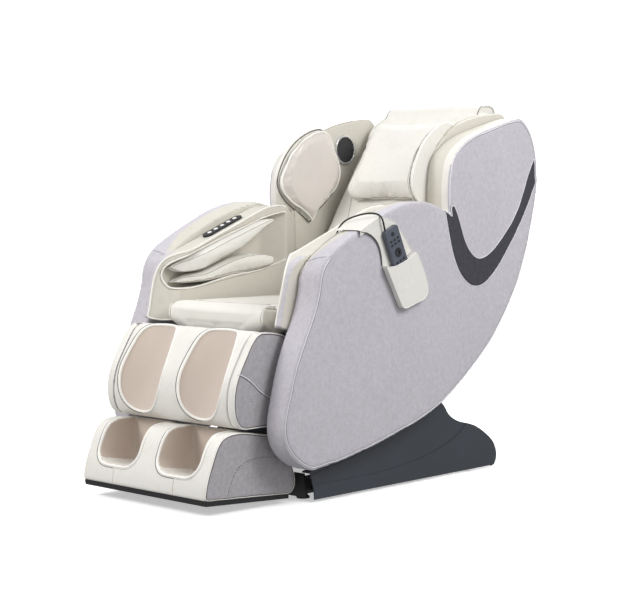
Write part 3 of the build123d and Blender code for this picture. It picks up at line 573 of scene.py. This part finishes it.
def sewn(name, piece, chains, body, radius, lift, finish="seam", rounds=1, closed=False):
    """Piping or seam lines that lie on a soft piece."""
    skin = skin_of(piece)
    for number, chain in enumerate(chains):
        points = resample(chain, SEAM_STEP)
        if closed:
            points = points[:-1]
        points = eased(hugged(skin, points, lift), rounds, closed)
        tube(f"{name}_{number}", points, radius, finish, body, closed)


def curved(points, step=0.006):
    """A smooth chain through a few points: each span is a Catmull-Rom curve."""
    points = [Vector(p) for p in points]
    ends = [points[0] * 2 - points[1], *points, points[-1] * 2 - points[-2]]
    out = [points[0]]
    for a, b, c, d in zip(ends, ends[1:], ends[2:], ends[3:]):
        count = max(2, round((c - b).length / step))
        for n in range(1, count + 1):
            t = n / count
            out.append(0.5 * (2 * b + (c - a) * t + (2 * a - 5 * b + 4 * c - d) * t ** 2
                              + (3 * b - 3 * c + d - a) * t ** 3))
    return out


def stitches(name, points, finish, body, length=0.006, gap=0.004, radius=0.0006):
    """A row of short stitches along a chain, as one mesh."""
    even = resample(points, length + gap)
    curve = bpy.data.curves.new(name, "CURVE")
    curve.dimensions = "3D"
    curve.bevel_depth = radius
    curve.bevel_resolution = 1
    share = length / (length + gap)
    for here, after in zip(even, even[1:]):
        spline = curve.splines.new("POLY")
        spline.points.add(1)
        spline.points[0].co = (*here, 1)
        spline.points[1].co = (*here.lerp(after, share), 1)
    curve.materials.append(MAT[finish])
    piece = bpy.data.objects.new(name, curve)
    bpy.context.collection.objects.link(piece)
    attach(piece, body)
    return piece


# ---------------------------------------------------------------- side panels
FACE_MIN_TURN = 0.8          # sharpest edges of a CAD solid, in radians
PANEL_IN = 0.272             # inner face of a side panel
ARM_TOP_X = 0.318            # leather on top of the arm ends here
ARM_TOP_DIP = 0.010          # and lies this much lower at its inner edge
END_SEAM = [(0, 0, 0), (0.03, 0.012, 0.006), (0.075, 0.024, 0.004)]    # across, forward, up
BULGE_R, BULGE_AT = 9.8, Vector((0.362 - 9.8, 0.150, 0.600))


def keep_side(piece, sign):
    """Delete what lies on the other side of the chair."""
    work = bmesh.new()
    work.from_mesh(piece.data)
    bmesh.ops.delete(work, geom=[v for v in work.verts if v.co.x * sign < 0], context="VERTS")
    work.to_mesh(piece.data)
    work.free()


def drawn_in(points, step):
    """A closed chain moved towards its own middle by step."""
    middle = sum(points, Vector()) / len(points)
    return [p + (middle - p).normalized() * step for p in points]


def make_side_panels():
    for side, sign in (("left", 1), ("right", -1)):
        node = f"side_panel_{side}"
        low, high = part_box(node)
        outer_x = max(abs(low.x), abs(high.x))
        piece = soft(f"panel_{side}", [node, "panel_stripes"], ["panel", "cream", "beige"], 0.0055, 5,
                     stands_for=[node])
        keep_side(piece, sign)
        loops = feature_loops(cad_copy(node), FACE_MIN_TURN, lambda m: abs(abs(m.x) - PANEL_IN) < 0.001)
        shift = Vector((sign * (outer_x - PANEL_IN - 0.004), 0, 0))
        edge = [p + shift for p in eased(resample(loops[0], 0.008)[:-1], 2, True)]
        edge = hugged(skin_of(piece), drawn_in(edge, 0.006), 0.0)
        edge = without_arm_top(edge)
        crease(piece, [edge], 0.010, 0.0022)
        for vertex in piece.data.vertices:
            at = vertex.co
            if at.z > 0.6 and vertex.normal.z > 0.3:
                inwards = eased_step(ARM_TOP_X - at.x * sign, 0.0, 0.05)
                at.z -= ARM_TOP_DIP * inwards * eased_step(-at.y, -0.20, -0.12)

        def wing_side(at, normal, sign=sign):
            return at.y > 0.19 and at.z > 0.752 and abs(normal.x) < 0.8 and at.x * sign < outer_x - 0.011

        def wing_face(at, normal, sign=sign):
            return wing_side(at, normal) and at.x * sign < outer_x - 0.032

        def arm_top(at, normal, sign=sign):
            bound = PANEL_IN + (ARM_TOP_X - PANEL_IN) * eased_step(at.y, -0.35, -0.18)
            on_top = -0.36 < at.y < 0.20 and at.z > 0.6
            return on_top and normal.x * sign < 0.8 and at.x * sign < bound + 0.002

        paint(piece, 2, arm_top)
        paint(piece, 1, wing_side)
        paint(piece, 2, wing_face)
        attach(piece, "shell")
        sewn(f"panel_piping_{side}", piece, [edge], "shell", 0.0016, 0.0002, "pale_piping", 2)
        sewn(f"panel_seam_{side}", piece, [drawn_in(edge, 0.0036)], "shell", 0.0008, 0.0, "grey_seam", 2)
        cross = [edge[0] + Vector((-sign * across, -forward, up)) for across, forward, up in END_SEAM]
        sewn(f"panel_end_seam_{side}", piece, [cross], "shell", 0.0009, 0.0001, "grey_seam", 1)
    stripes = soft("v_stripes", ["panel_stripes"], ["stripe"], 0.0024, 2, 0.0006)
    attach(stripes, "shell")
    stripe = cad_copy("panel_stripes")
    for side, sign in (("left", 1), ("right", -1)):
        loops = feature_loops(stripe, 0.6, lambda m: m.x * sign > 0 and above_bulge(m))
        sewn(f"stripe_piping_{side}", stripes, [loops[0]], "shell", 0.0013, 0.0, "pale_piping", 1, True)


def above_bulge(at):
    """True outside the sphere that a side panel's outer face is cut from."""
    return (Vector((abs(at.x), at.y, at.z)) - BULGE_AT).length > BULGE_R + 0.0003


def eased_step(value, low, high):
    """0 below low, 1 above high, smooth between."""
    share = min(1.0, max(0.0, (value - low) / (high - low)))
    return share * share * (3 - 2 * share)


def without_arm_top(edge):
    """The panel's closed outline, opened along the top of the arm; it starts at the arm's front."""
    count = len(edge)
    on_top = [-0.285 < p.y < 0.19 and p.z > 0.62 for p in edge]
    start = next(n for n in range(count) if not on_top[n] and on_top[n - 1])
    turned = edge[start:] + edge[:start]
    run = turned[:sum(1 for flag in on_top if not flag)]
    return run if run[0].y < run[-1].y else run[::-1]


# ---------------------------------------------------------------- arms
def make_arms():
    for side, sign in (("left", 1), ("right", -1)):
        node = f"inner_arm_{side}"
        arm = soft(f"arm_box_{side}", [node], ["beige", "panel"], 0.0045, 4)
        inner = min(abs(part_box(node)[0].x), abs(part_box(node)[1].x))
        loops = feature_loops(cad_copy(node), FACE_MIN_TURN, lambda m: on_arm_face(m, inner))
        crease(arm, loops[:2], 0.007, -0.0015)
        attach(arm, "shell")
        paint(arm, 1, lambda at, normal: at.y < -0.29 and abs(at.x) > 0.2465 and normal.y < -0.3
              and abs(corner_depth(at)) > 0.0035)
        sewn(f"arm_piping_{side}", arm, loops[:2], "shell", 0.0026, 0.0006, "piping", 2)
        pocket = [chain for chain in loops[:3]
                  if max(p.z for p in chain) > 0.7 and min(p.z for p in chain) > 0.53]
        sewn(f"arm_seam_{side}", arm, [drawn_in(resample(c, 0.006), -0.0075) for c in pocket], "shell",
             0.0008, 0.0001, "tan_seam", 2)
    for node, start in (("arm_pads_upper", 0.178), ("arm_pads_lower", 0.186)):
        pads = soft(node.replace("arm_pads", "sleeve_pads"), [node], ["cream"], 0.004, 6, -0.001)
        narrow_front(pads, start)
        puff(pads, 3.0, 0.006)
        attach(pads, "shell")
        loops = feature_loops(cad_copy(node), FACE_MIN_TURN, lambda m: abs(abs(m.x) - start) < 0.002)
        edges = [[p + Vector((math.copysign(front_shift(p, start), p.x), 0, 0)) for p in resample(c, 0.006)]
                 for c in loops[:2]]
        sewn(node.replace("arm_pads", "sleeve_seam"), pads, edges, "shell", 0.0008, 0.0001, "tan_seam", 3)


def corner_depth(at):
    """How far a point lies behind an arm box's slanted front corner."""
    across, along = Vector((58 * 120, 48 * 120, -48 * 31)).normalized(), Vector((abs(at.x), at.y, at.z))
    return (along - Vector((0.250, -0.391, 0.470))).dot(across)


def on_arm_face(at, inner):
    return abs(at.x) < inner + 0.002 or abs(corner_depth(at)) < 0.0012


def front_shift(at, start):
    """How far a point of an arm pad lies further into the pocket, towards its front end."""
    share = min(1.0, max(0.0, (-0.235 - at.y) / 0.085))
    return 0.050 * share ** 1.3 * (1 - min(1.0, max(0.0, (abs(at.x) - start) / 0.072)))


def narrow_front(pads, start):
    for vertex in pads.data.vertices:
        vertex.co.x += math.copysign(front_shift(vertex.co, start), vertex.co.x)


# ---------------------------------------------------------------- back, wings and pillow
BACK_FOOT = Vector((0, 0.195, 0.505))
BACK_TILT = math.radians(33)
BACK_UP = Vector((0, math.sin(BACK_TILT), math.cos(BACK_TILT)))
BACK_OUT = Vector((0, -math.cos(BACK_TILT), math.sin(BACK_TILT)))


def on_back(*places):
    """Points on the backrest from (across, up, out)."""
    return [BACK_FOOT + BACK_UP * up + BACK_OUT * out + Vector((across, 0, 0)) for across, up, out in places]


PAD_TURN = math.radians(4.6)


def pad_depth(at):
    """How far a point lies behind the inner face of its shoulder pad."""
    return (abs(at.x) - 0.257) * math.cos(PAD_TURN) + at.y * math.sin(PAD_TURN)


def make_wings():
    for side, sign in (("left", 1), ("right", -1)):
        node = f"wing_lining_{side}"
        lining = soft(f"lining_{side}", [node], ["beige"], 0.005, 3)
        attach(lining, "shell")
        loops = feature_loops(cad_copy(node), FACE_MIN_TURN,
                              lambda m: abs(abs(m.x) - 0.270) < 0.001 and m.z > 0.757)
        rim = [p - Vector((sign * 0.014, 0, 0)) for p in loops[0]]
        sewn(f"lining_seam_{side}", lining, [rim], "shell", 0.0012, 0.0002, "tan_seam", 2)
        node = f"shoulder_pad_{side}"
        pad = soft(f"shoulder_cushion_{side}", [node], ["pale_blush", "cream"], 0.004, 6, -0.002)
        puff(pad, 4.0, 0.011)
        paint(pad, 1, lambda at, normal: abs(normal.x) < 0.55)
        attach(pad, "shell")
        near = feature_loops(cad_copy(node), FACE_MIN_TURN, lambda m: pad_depth(m) < 0.001)[0]
        far = feature_loops(cad_copy(node), FACE_MIN_TURN, lambda m: pad_depth(m) > 0.015)[0]
        near = drawn_in(resample(near, SEAM_STEP)[:-1], 0.005)
        sewn(f"shoulder_piping_{side}", pad, [near], "shell", 0.0028, 0.0008, "piping", 2, True)
        far = eased(resample(far, SEAM_STEP)[:-1], 2, True)
        tube(f"shoulder_seam_{side}", far, 0.0016, "seam", "shell", True)
    backs = soft("shoulder_bases", ["shoulder_backings"], ["cream"], 0.0035, 4)
    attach(backs, "shell")
    loops = feature_loops(cad_copy("shoulder_backings"), FACE_MIN_TURN, lambda m: pad_depth(m) > 0.026)
    sewn("shoulder_base_piping", backs, loops[:2], "shell", 0.0020, 0.0003, "piping", 2, True)


# places on the backrest: across, up the back, out of it
BACK_SEAMS = [
    [(0.249, 0.222, 0), (0.205, 0.190, 0), (0.160, 0.150, 0)],
    [(0.249, 0.282, 0), (0.215, 0.255, 0), (0.175, 0.225, 0)],
    [(0.105, 0.020, 0), (0.115, 0.140, 0), (0.160, 0.300, 0), (0.205, 0.480, 0), (0.205, 0.640, 0)],
]
LUMBAR_SEAM = [(-0.160, 0.150, 0), (0, 0.128, 0), (0.160, 0.150, 0)]
PILLOW_END_SEAM = [(0.152, 0.340, 0.010), (0.154, 0.336, 0.040), (0.152, 0.375, 0.072),
                   (0.152, 0.470, 0.078), (0.152, 0.560, 0.072), (0.154, 0.597, 0.040)]
PILLOW_LOW_SEAM = [(-0.165, 0.345, 0.030), (-0.08, 0.326, 0.030), (0.08, 0.326, 0.030), (0.165, 0.345, 0.030)]


def mirrored(places, sign):
    return [(sign * across, up, out) for across, up, out in places]


def make_back():
    back = soft("back_padding", ["backrest_cushion"], ["cream"], 0.006, 5, -0.003)
    puff(back, 4.0, 0.014)
    lines = [curved(on_back(*mirrored(seam, sign))) for sign in (-1, 1) for seam in BACK_SEAMS]
    lines.append(curved(on_back(*LUMBAR_SEAM)))
    crease(back, lines, 0.016, 0.005)
    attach(back, "shell")
    sewn("back_seam", back, lines, "shell", 0.0009, 0.0, "tan_seam", 2)

    pillow = soft("head_cushion", ["head_pillow"], ["cream"], 0.005, 9, -0.004)
    puff(pillow, 4.0, 0.014)
    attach(pillow, "pillow")
    ends = [curved(on_back(*mirrored(PILLOW_END_SEAM, sign))) for sign in (-1, 1)]
    low = curved(on_back(*PILLOW_LOW_SEAM))
    crease(pillow, ends + [low], 0.014, 0.0035)
    sewn("pillow_seam", pillow, ends, "pillow", 0.0012, 0.0002, "piping", 2)
    sewn("pillow_edge", pillow, [low], "pillow", 0.0012, 0.0002, "tan_seam", 2)

    flap = soft("top_flap", ["pillow_flap"], ["cream"], 0.003, 3)
    sag(flap)
    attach(flap, "shell")
    for sign in (-1, 1):
        edge = [Vector((sign * 0.1825, y, z)) for y, z in FLAP_EDGE[:4]]
        sewn(f"flap_piping_{sign + 1}", flap, [curved(edge)], "shell", 0.0012, 0.0004, "seam", 2)
    rolled_filling()

    seat = soft("seat_padding", ["seat_cushion"], ["cream"], 0.006, 5, -0.003)
    puff(seat, 4.0, 0.012)
    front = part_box("seat_cushion")[0].y
    lines = [curved([(-0.19, front + 0.075, 0.515), (0, front + 0.070, 0.515), (0.19, front + 0.075, 0.515)])]
    for sign in (-1, 1):
        lines.append(curved([(sign * 0.135, front + 0.072, 0.515), (sign * 0.130, -0.1, 0.515),
                             (sign * 0.120, 0.18, 0.51)]))
        lines.append(curved([(sign * 0.178, front + 0.072, 0.514), (sign * 0.178, front + 0.01, 0.512),
                             (sign * 0.178, front - 0.004, 0.49), (sign * 0.178, front, 0.468)]))
    crease(seat, lines, 0.016, 0.005)
    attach(seat, "shell")
    sewn("seat_seam", seat, lines, "shell", 0.0009, 0.0, "tan_seam", 2)


FLAP_EDGE = [(0.500, 0.987), (0.530, 1.032), (0.559, 1.076), (0.573, 1.087), (0.598, 1.091), (0.630, 1.084),
             (0.639, 1.066), (0.638, 1.038), (0.622, 0.997)]


def rolled_filling():
    """Padding inside the flap where it turns over the top of the back."""
    middle = Vector((0, 0.594, 1.050))
    ring = [middle.lerp(Vector((0, y, z)), 0.93) for y, z in FLAP_EDGE]
    work = bmesh.new()
    ends = [[work.verts.new(p + Vector((x, 0, 0))) for p in ring] for x in (-0.1805, 0.1805)]
    count = len(ring)
    for n in range(count):
        work.faces.new((ends[0][n], ends[0][(n + 1) % count], ends[1][(n + 1) % count], ends[1][n]))
    work.faces.new(ends[0][::-1])
    work.faces.new(ends[1])
    bmesh.ops.recalc_face_normals(work, faces=work.faces)
    mesh = bpy.data.meshes.new("flap_filling")
    work.to_mesh(mesh)
    work.free()
    filling = bpy.data.objects.new("flap_filling", mesh)
    bpy.context.collection.objects.link(filling)
    mesh.materials.append(MAT["cream"])
    bevel = filling.modifiers.new("bevel", "BEVEL")
    bevel.width, bevel.segments = 0.006, 3
    settle(filling)
    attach(filling, "shell")


def sag(flap):
    """Slack leather between the two ends of the pillow's flap."""
    for vertex in flap.data.vertices:
        x, y = vertex.co.x, vertex.co.y
        wave = math.sin(x * 27) * 0.0011 + math.sin(x * 61 + y * 40) * 0.0006
        vertex.co.z += wave - 0.0016
    flap.data.update()


# ---------------------------------------------------------------- leg rest and foot rest
CHANNEL_X = 0.119


def inside(at, outline):
    """True if a point is within a closed chain, both seen from the front."""
    crossed = False
    for a, b in zip(outline, outline[1:] + outline[:1]):
        if (a.z > at.z) != (b.z > at.z) and at.x < a.x + (b.x - a.x) * (at.z - a.z) / (b.z - a.z):
            crossed = not crossed
    return crossed


def make_leg_rest():
    # the channels take the darker blush mesh: painted shade inside them
    pad = soft("calf_padding", ["calf_pad"], ["cream", "channel"], 0.0045, 4)
    rims = [resample(chain, SEAM_STEP)[:-1] for chain in feature_loops(
        cad_copy("calf_pad"), 0.45, lambda m: 0.02 < abs(m.x) < 0.2235 and m.y < -0.43)[:2]]
    crease(pad, rims, 0.010, -0.0022)
    paint(pad, 1, lambda at, normal: at.y < -0.42 and any(inside(at, rim) for rim in rims))
    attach(pad, "leg_rest")
    inner_rims = [drawn_in(rim, 0.001) for rim in rims]
    sewn("calf_rim", pad, inner_rims, "leg_rest", 0.0040, -0.0014, "piping", 3, True)
    for number, rim in enumerate(rims):
        middle = sum(rim, Vector()) / len(rim)
        outer = drawn_in(rim, -0.0075)
        # a dark seam line along each channel's -x side only: the seam is real, its dark colour on that side
        # alone is painted shadow in the groove
        shaded_run = split_at_side(outer, middle.x)[0]
        sewn(f"calf_seam_{number}", pad, [shaded_run], "leg_rest", 0.0011, 0.0001, "seam", 3)


def split_at_side(rim, middle):
    """A closed rim as its run with x below middle and the rest, each in order."""
    count = len(rim)
    start = next(n for n in range(count) if rim[n].x < middle <= rim[n - 1].x)
    turned = rim[start:] + rim[:start]
    cut = next(n for n in range(count) if turned[n].x >= middle)
    return turned[:cut], turned[cut:]


def make_leg_covers():
    covers = soft("calf_covers", ["calf_side_covers"], ["grey", "cream"], 0.0035, 5)
    paint(covers, 1, lambda at, normal: at.y < -0.40 and abs(normal.x) < 0.72)
    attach(covers, "leg_rest")
    for side, sign in (("left", 1), ("right", -1)):
        rim = feature_loops(cad_copy("calf_side_covers"), FACE_MIN_TURN, lambda m: m.x * sign > 0.248)[0]
        rim = resample(rim, SEAM_STEP)[:-1]
        edge, seam = [drawn_in(rim, 0.002)], [drawn_in(rim, 0.0055)]
        sewn(f"calf_edge_{side}", covers, edge, "leg_rest", 0.0017, 0.0002, "piping", 3, True)
        sewn(f"calf_edge_seam_{side}", covers, seam, "leg_rest", 0.0009, 0.0, "seam", 3, True)
        curve = curved([(sign * 0.252, y, z) for y, z in CALF_CURVE])
        sewn(f"calf_curve_{side}", covers, [curve], "leg_rest", 0.0016, 0.0003, "pale_piping", 2)
        under = [p + Vector((0, 0, -0.0032)) for p in curve]
        sewn(f"calf_curve_seam_{side}", covers, [under], "leg_rest", 0.0008, 0.0, "seam", 2)


# seams on the grey sides: y, z
CALF_CURVE = [(-0.533, 0.362), (-0.5165, 0.355), (-0.483, 0.337), (-0.443, 0.305), (-0.392, 0.279),
              (-0.348, 0.270)]
FOOT_ARC = [(-0.556, 0.048), (-0.5535, 0.056), (-0.544, 0.078), (-0.523, 0.1115), (-0.483, 0.130),
            (-0.433, 0.133), (-0.381, 0.128), (-0.345, 0.118)]
FOOT_FRONT_SEAM = [(-0.634, 0.050), (-0.632, 0.070), (-0.628, 0.088)]


def make_foot_rest():
    low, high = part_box("foot_shell")
    shell = soft("foot_padding", ["foot_shell"], ["cream", "grey"], 0.0045, 4)
    paint(shell, 1, lambda at, normal: abs(at.x) > high.x - 0.012 and abs(normal.x) > 0.6)
    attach(shell, "foot_rest")
    cad = cad_copy("foot_shell")
    wells = feature_loops(cad, 0.5, lambda m: abs(abs(m.x) - CHANNEL_X) < 0.085 and m.z > 0.07 and m.y < -0.46
                          and near_outside(m))[:2]
    crease(shell, [resample(well, SEAM_STEP) for well in wells], 0.010, -0.0018)
    wells = [resample(well, SEAM_STEP)[:-1] for well in wells]
    sewn("foot_rim", shell, wells, "foot_rest", 0.0046, -0.0012, "piping", 4, True)
    for number, well in enumerate(wells):
        # each well's rim seam is drawn dark on its -x side, as painted shadow in the groove, and as a tan
        # line on the other side
        shaded_run, pale = split_at_side(drawn_in(well, -0.0085), math.copysign(CHANNEL_X, well[0].x))
        sewn(f"foot_rim_seam_{number}", shell, [shaded_run], "foot_rest", 0.0009, 0.0001, "seam", 4)
        sewn(f"foot_rim_line_{number}", shell, [pale], "foot_rest", 0.0005, -0.0001, "tan_seam", 4)
    for sign in (-1, 1):
        seam = curved([(sign * CHANNEL_X, y, z) for y, z in FOOT_FRONT_SEAM])
        sewn(f"foot_front_seam_{sign + 1}", shell, [seam], "foot_rest", 0.0006, 0.0, "tan_seam", 1)
        rims = feature_loops(cad, FACE_MIN_TURN, lambda m: m.x * sign > high.x - 0.002)
        rim = resample(rims[0], SEAM_STEP)[:-1]
        edge, seam = [drawn_in(rim, 0.001)], [drawn_in(rim, 0.0045)]
        sewn(f"foot_edge_{sign + 1}", shell, edge, "foot_rest", 0.0016, 0.0002, "piping", 3, True)
        sewn(f"foot_edge_seam_{sign + 1}", shell, seam, "foot_rest", 0.0010, 0.0, "seam", 3, True)
        arc = curved([(sign * 0.2425, y, z) for y, z in FOOT_ARC])
        stitches(f"foot_arc_{sign + 1}", hugged(skin_of(shell), arc, 0.0002), "seam", "foot_rest")
    # the well linings take the darker blush mesh, painted shade; their upward faces stay cream
    liners = soft("foot_lining", ["foot_liners"], ["channel", "cream"], 0.0035, 3)
    paint(liners, 1, lambda at, normal: normal.z > 0.75)
    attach(liners, "foot_rest")


def near_outside(at):
    """True on the foot rest's outer surface, away from the wells' own corners."""
    face = [(0.044, -0.634), (0.092, -0.626), (0.138, -0.608), (0.176, -0.590), (0.197, -0.572)]
    for (z0, y0), (z1, y1) in zip(face, face[1:]):
        if z0 <= at.z <= z1 and at.y < y0 + (y1 - y0) * (at.z - z0) / (z1 - z0) + 0.007:
            return True
    return at.z > 0.185


# ---------------------------------------------------------------- pouch, strap and cord
def make_pouch():
    pouch = soft("pouch_cover", ["remote_pouch"], ["cream"], 0.0015, 3)
    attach(pouch, "shell")
    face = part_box("remote_pouch")[1].x
    loops = feature_loops(cad_copy("remote_pouch"), FACE_MIN_TURN, lambda m: m.x > face - 0.0006)
    sewn("pouch_piping", pouch, loops[:1], "shell", 0.0014, 0.0002, "piping", 2, True)
    strap = soft("strap_cover", ["pouch_strap"], ["cream"], 0.0012, 2)
    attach(strap, "shell")
    front = curved([(0.300, -0.1865, 0.7190), (0.340, -0.1865, 0.7190), (0.358, -0.1865, 0.7180),
                    (0.3638, -0.184, 0.7150), (0.3640, -0.151, 0.7090), (0.3640, -0.118, 0.6860),
                    (0.3640, -0.104, 0.6580), (0.3640, -0.099, 0.6260)])
    rear = curved([(0.300, -0.0995, 0.7570), (0.340, -0.0995, 0.7570), (0.358, -0.0995, 0.7560),
                   (0.3638, -0.097, 0.7530), (0.3640, -0.048, 0.7395), (0.3640, -0.008, 0.7020),
                   (0.3640, 0.024, 0.6610)])
    # the dark line along the strap's front edge is painted shadow where the strap lifts off the arm
    sewn("strap_shadow_line", strap, [front], "shell", 0.0011, 0.0001, "seam", 1)
    sewn("strap_hem", strap, [rear], "shell", 0.0009, 0.0001, "piping", 1)


CORD_DIAMETER = 0.0048
CORD_ROUTE = [
    (0.3702, -0.0954, 0.7166), (0.371, -0.101, 0.731), (0.3715, -0.106, 0.746), (0.366, -0.111, 0.7585),
    (0.352, -0.117, 0.764), (0.334, -0.124, 0.764), (0.314, -0.132, 0.760), (0.294, -0.141, 0.7535),
    (0.276, -0.150, 0.744), (0.2645, -0.157, 0.731), (0.261, -0.164, 0.716), (0.2605, -0.168, 0.7035),
]


def make_cord():
    """The remote's cord, a mesh tube along one smooth spline."""
    curve = bpy.data.curves.new("cord_line", "CURVE")
    curve.dimensions = "3D"
    spline = curve.splines.new("NURBS")
    spline.points.add(len(CORD_ROUTE) - 1)
    for point, at in zip(spline.points, CORD_ROUTE):
        point.co = (*at, 1)
    spline.order_u = 3
    spline.use_endpoint_u = True
    spline.resolution_u = 12
    line = bpy.data.objects.new("cord_line", curve)
    bpy.context.collection.objects.link(line)
    path = [v.co.copy() for v in evaluated_mesh(line).vertices]
    curve.bevel_depth = CORD_DIAMETER / 2
    curve.bevel_resolution = 4
    curve.use_fill_caps = True
    mesh = evaluated_mesh(line)
    bpy.data.objects.remove(line)
    cord = bpy.data.objects.new("handset_cord", mesh)
    bpy.context.collection.objects.link(cord)
    mesh.materials.clear()
    mesh.materials.append(MAT["rubber"])
    for polygon in mesh.polygons:
        polygon.use_smooth = True
    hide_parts("remote_cord")
    path.reverse()
    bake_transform(cord)


# ---------------------------------------------------------------- everything
make_camera()
make_cord()
make_studio()
finish_plain_nodes()
make_side_panels()
make_arms()
make_wings()
make_back()
make_leg_rest()
make_leg_covers()
make_foot_rest()
make_pouch()
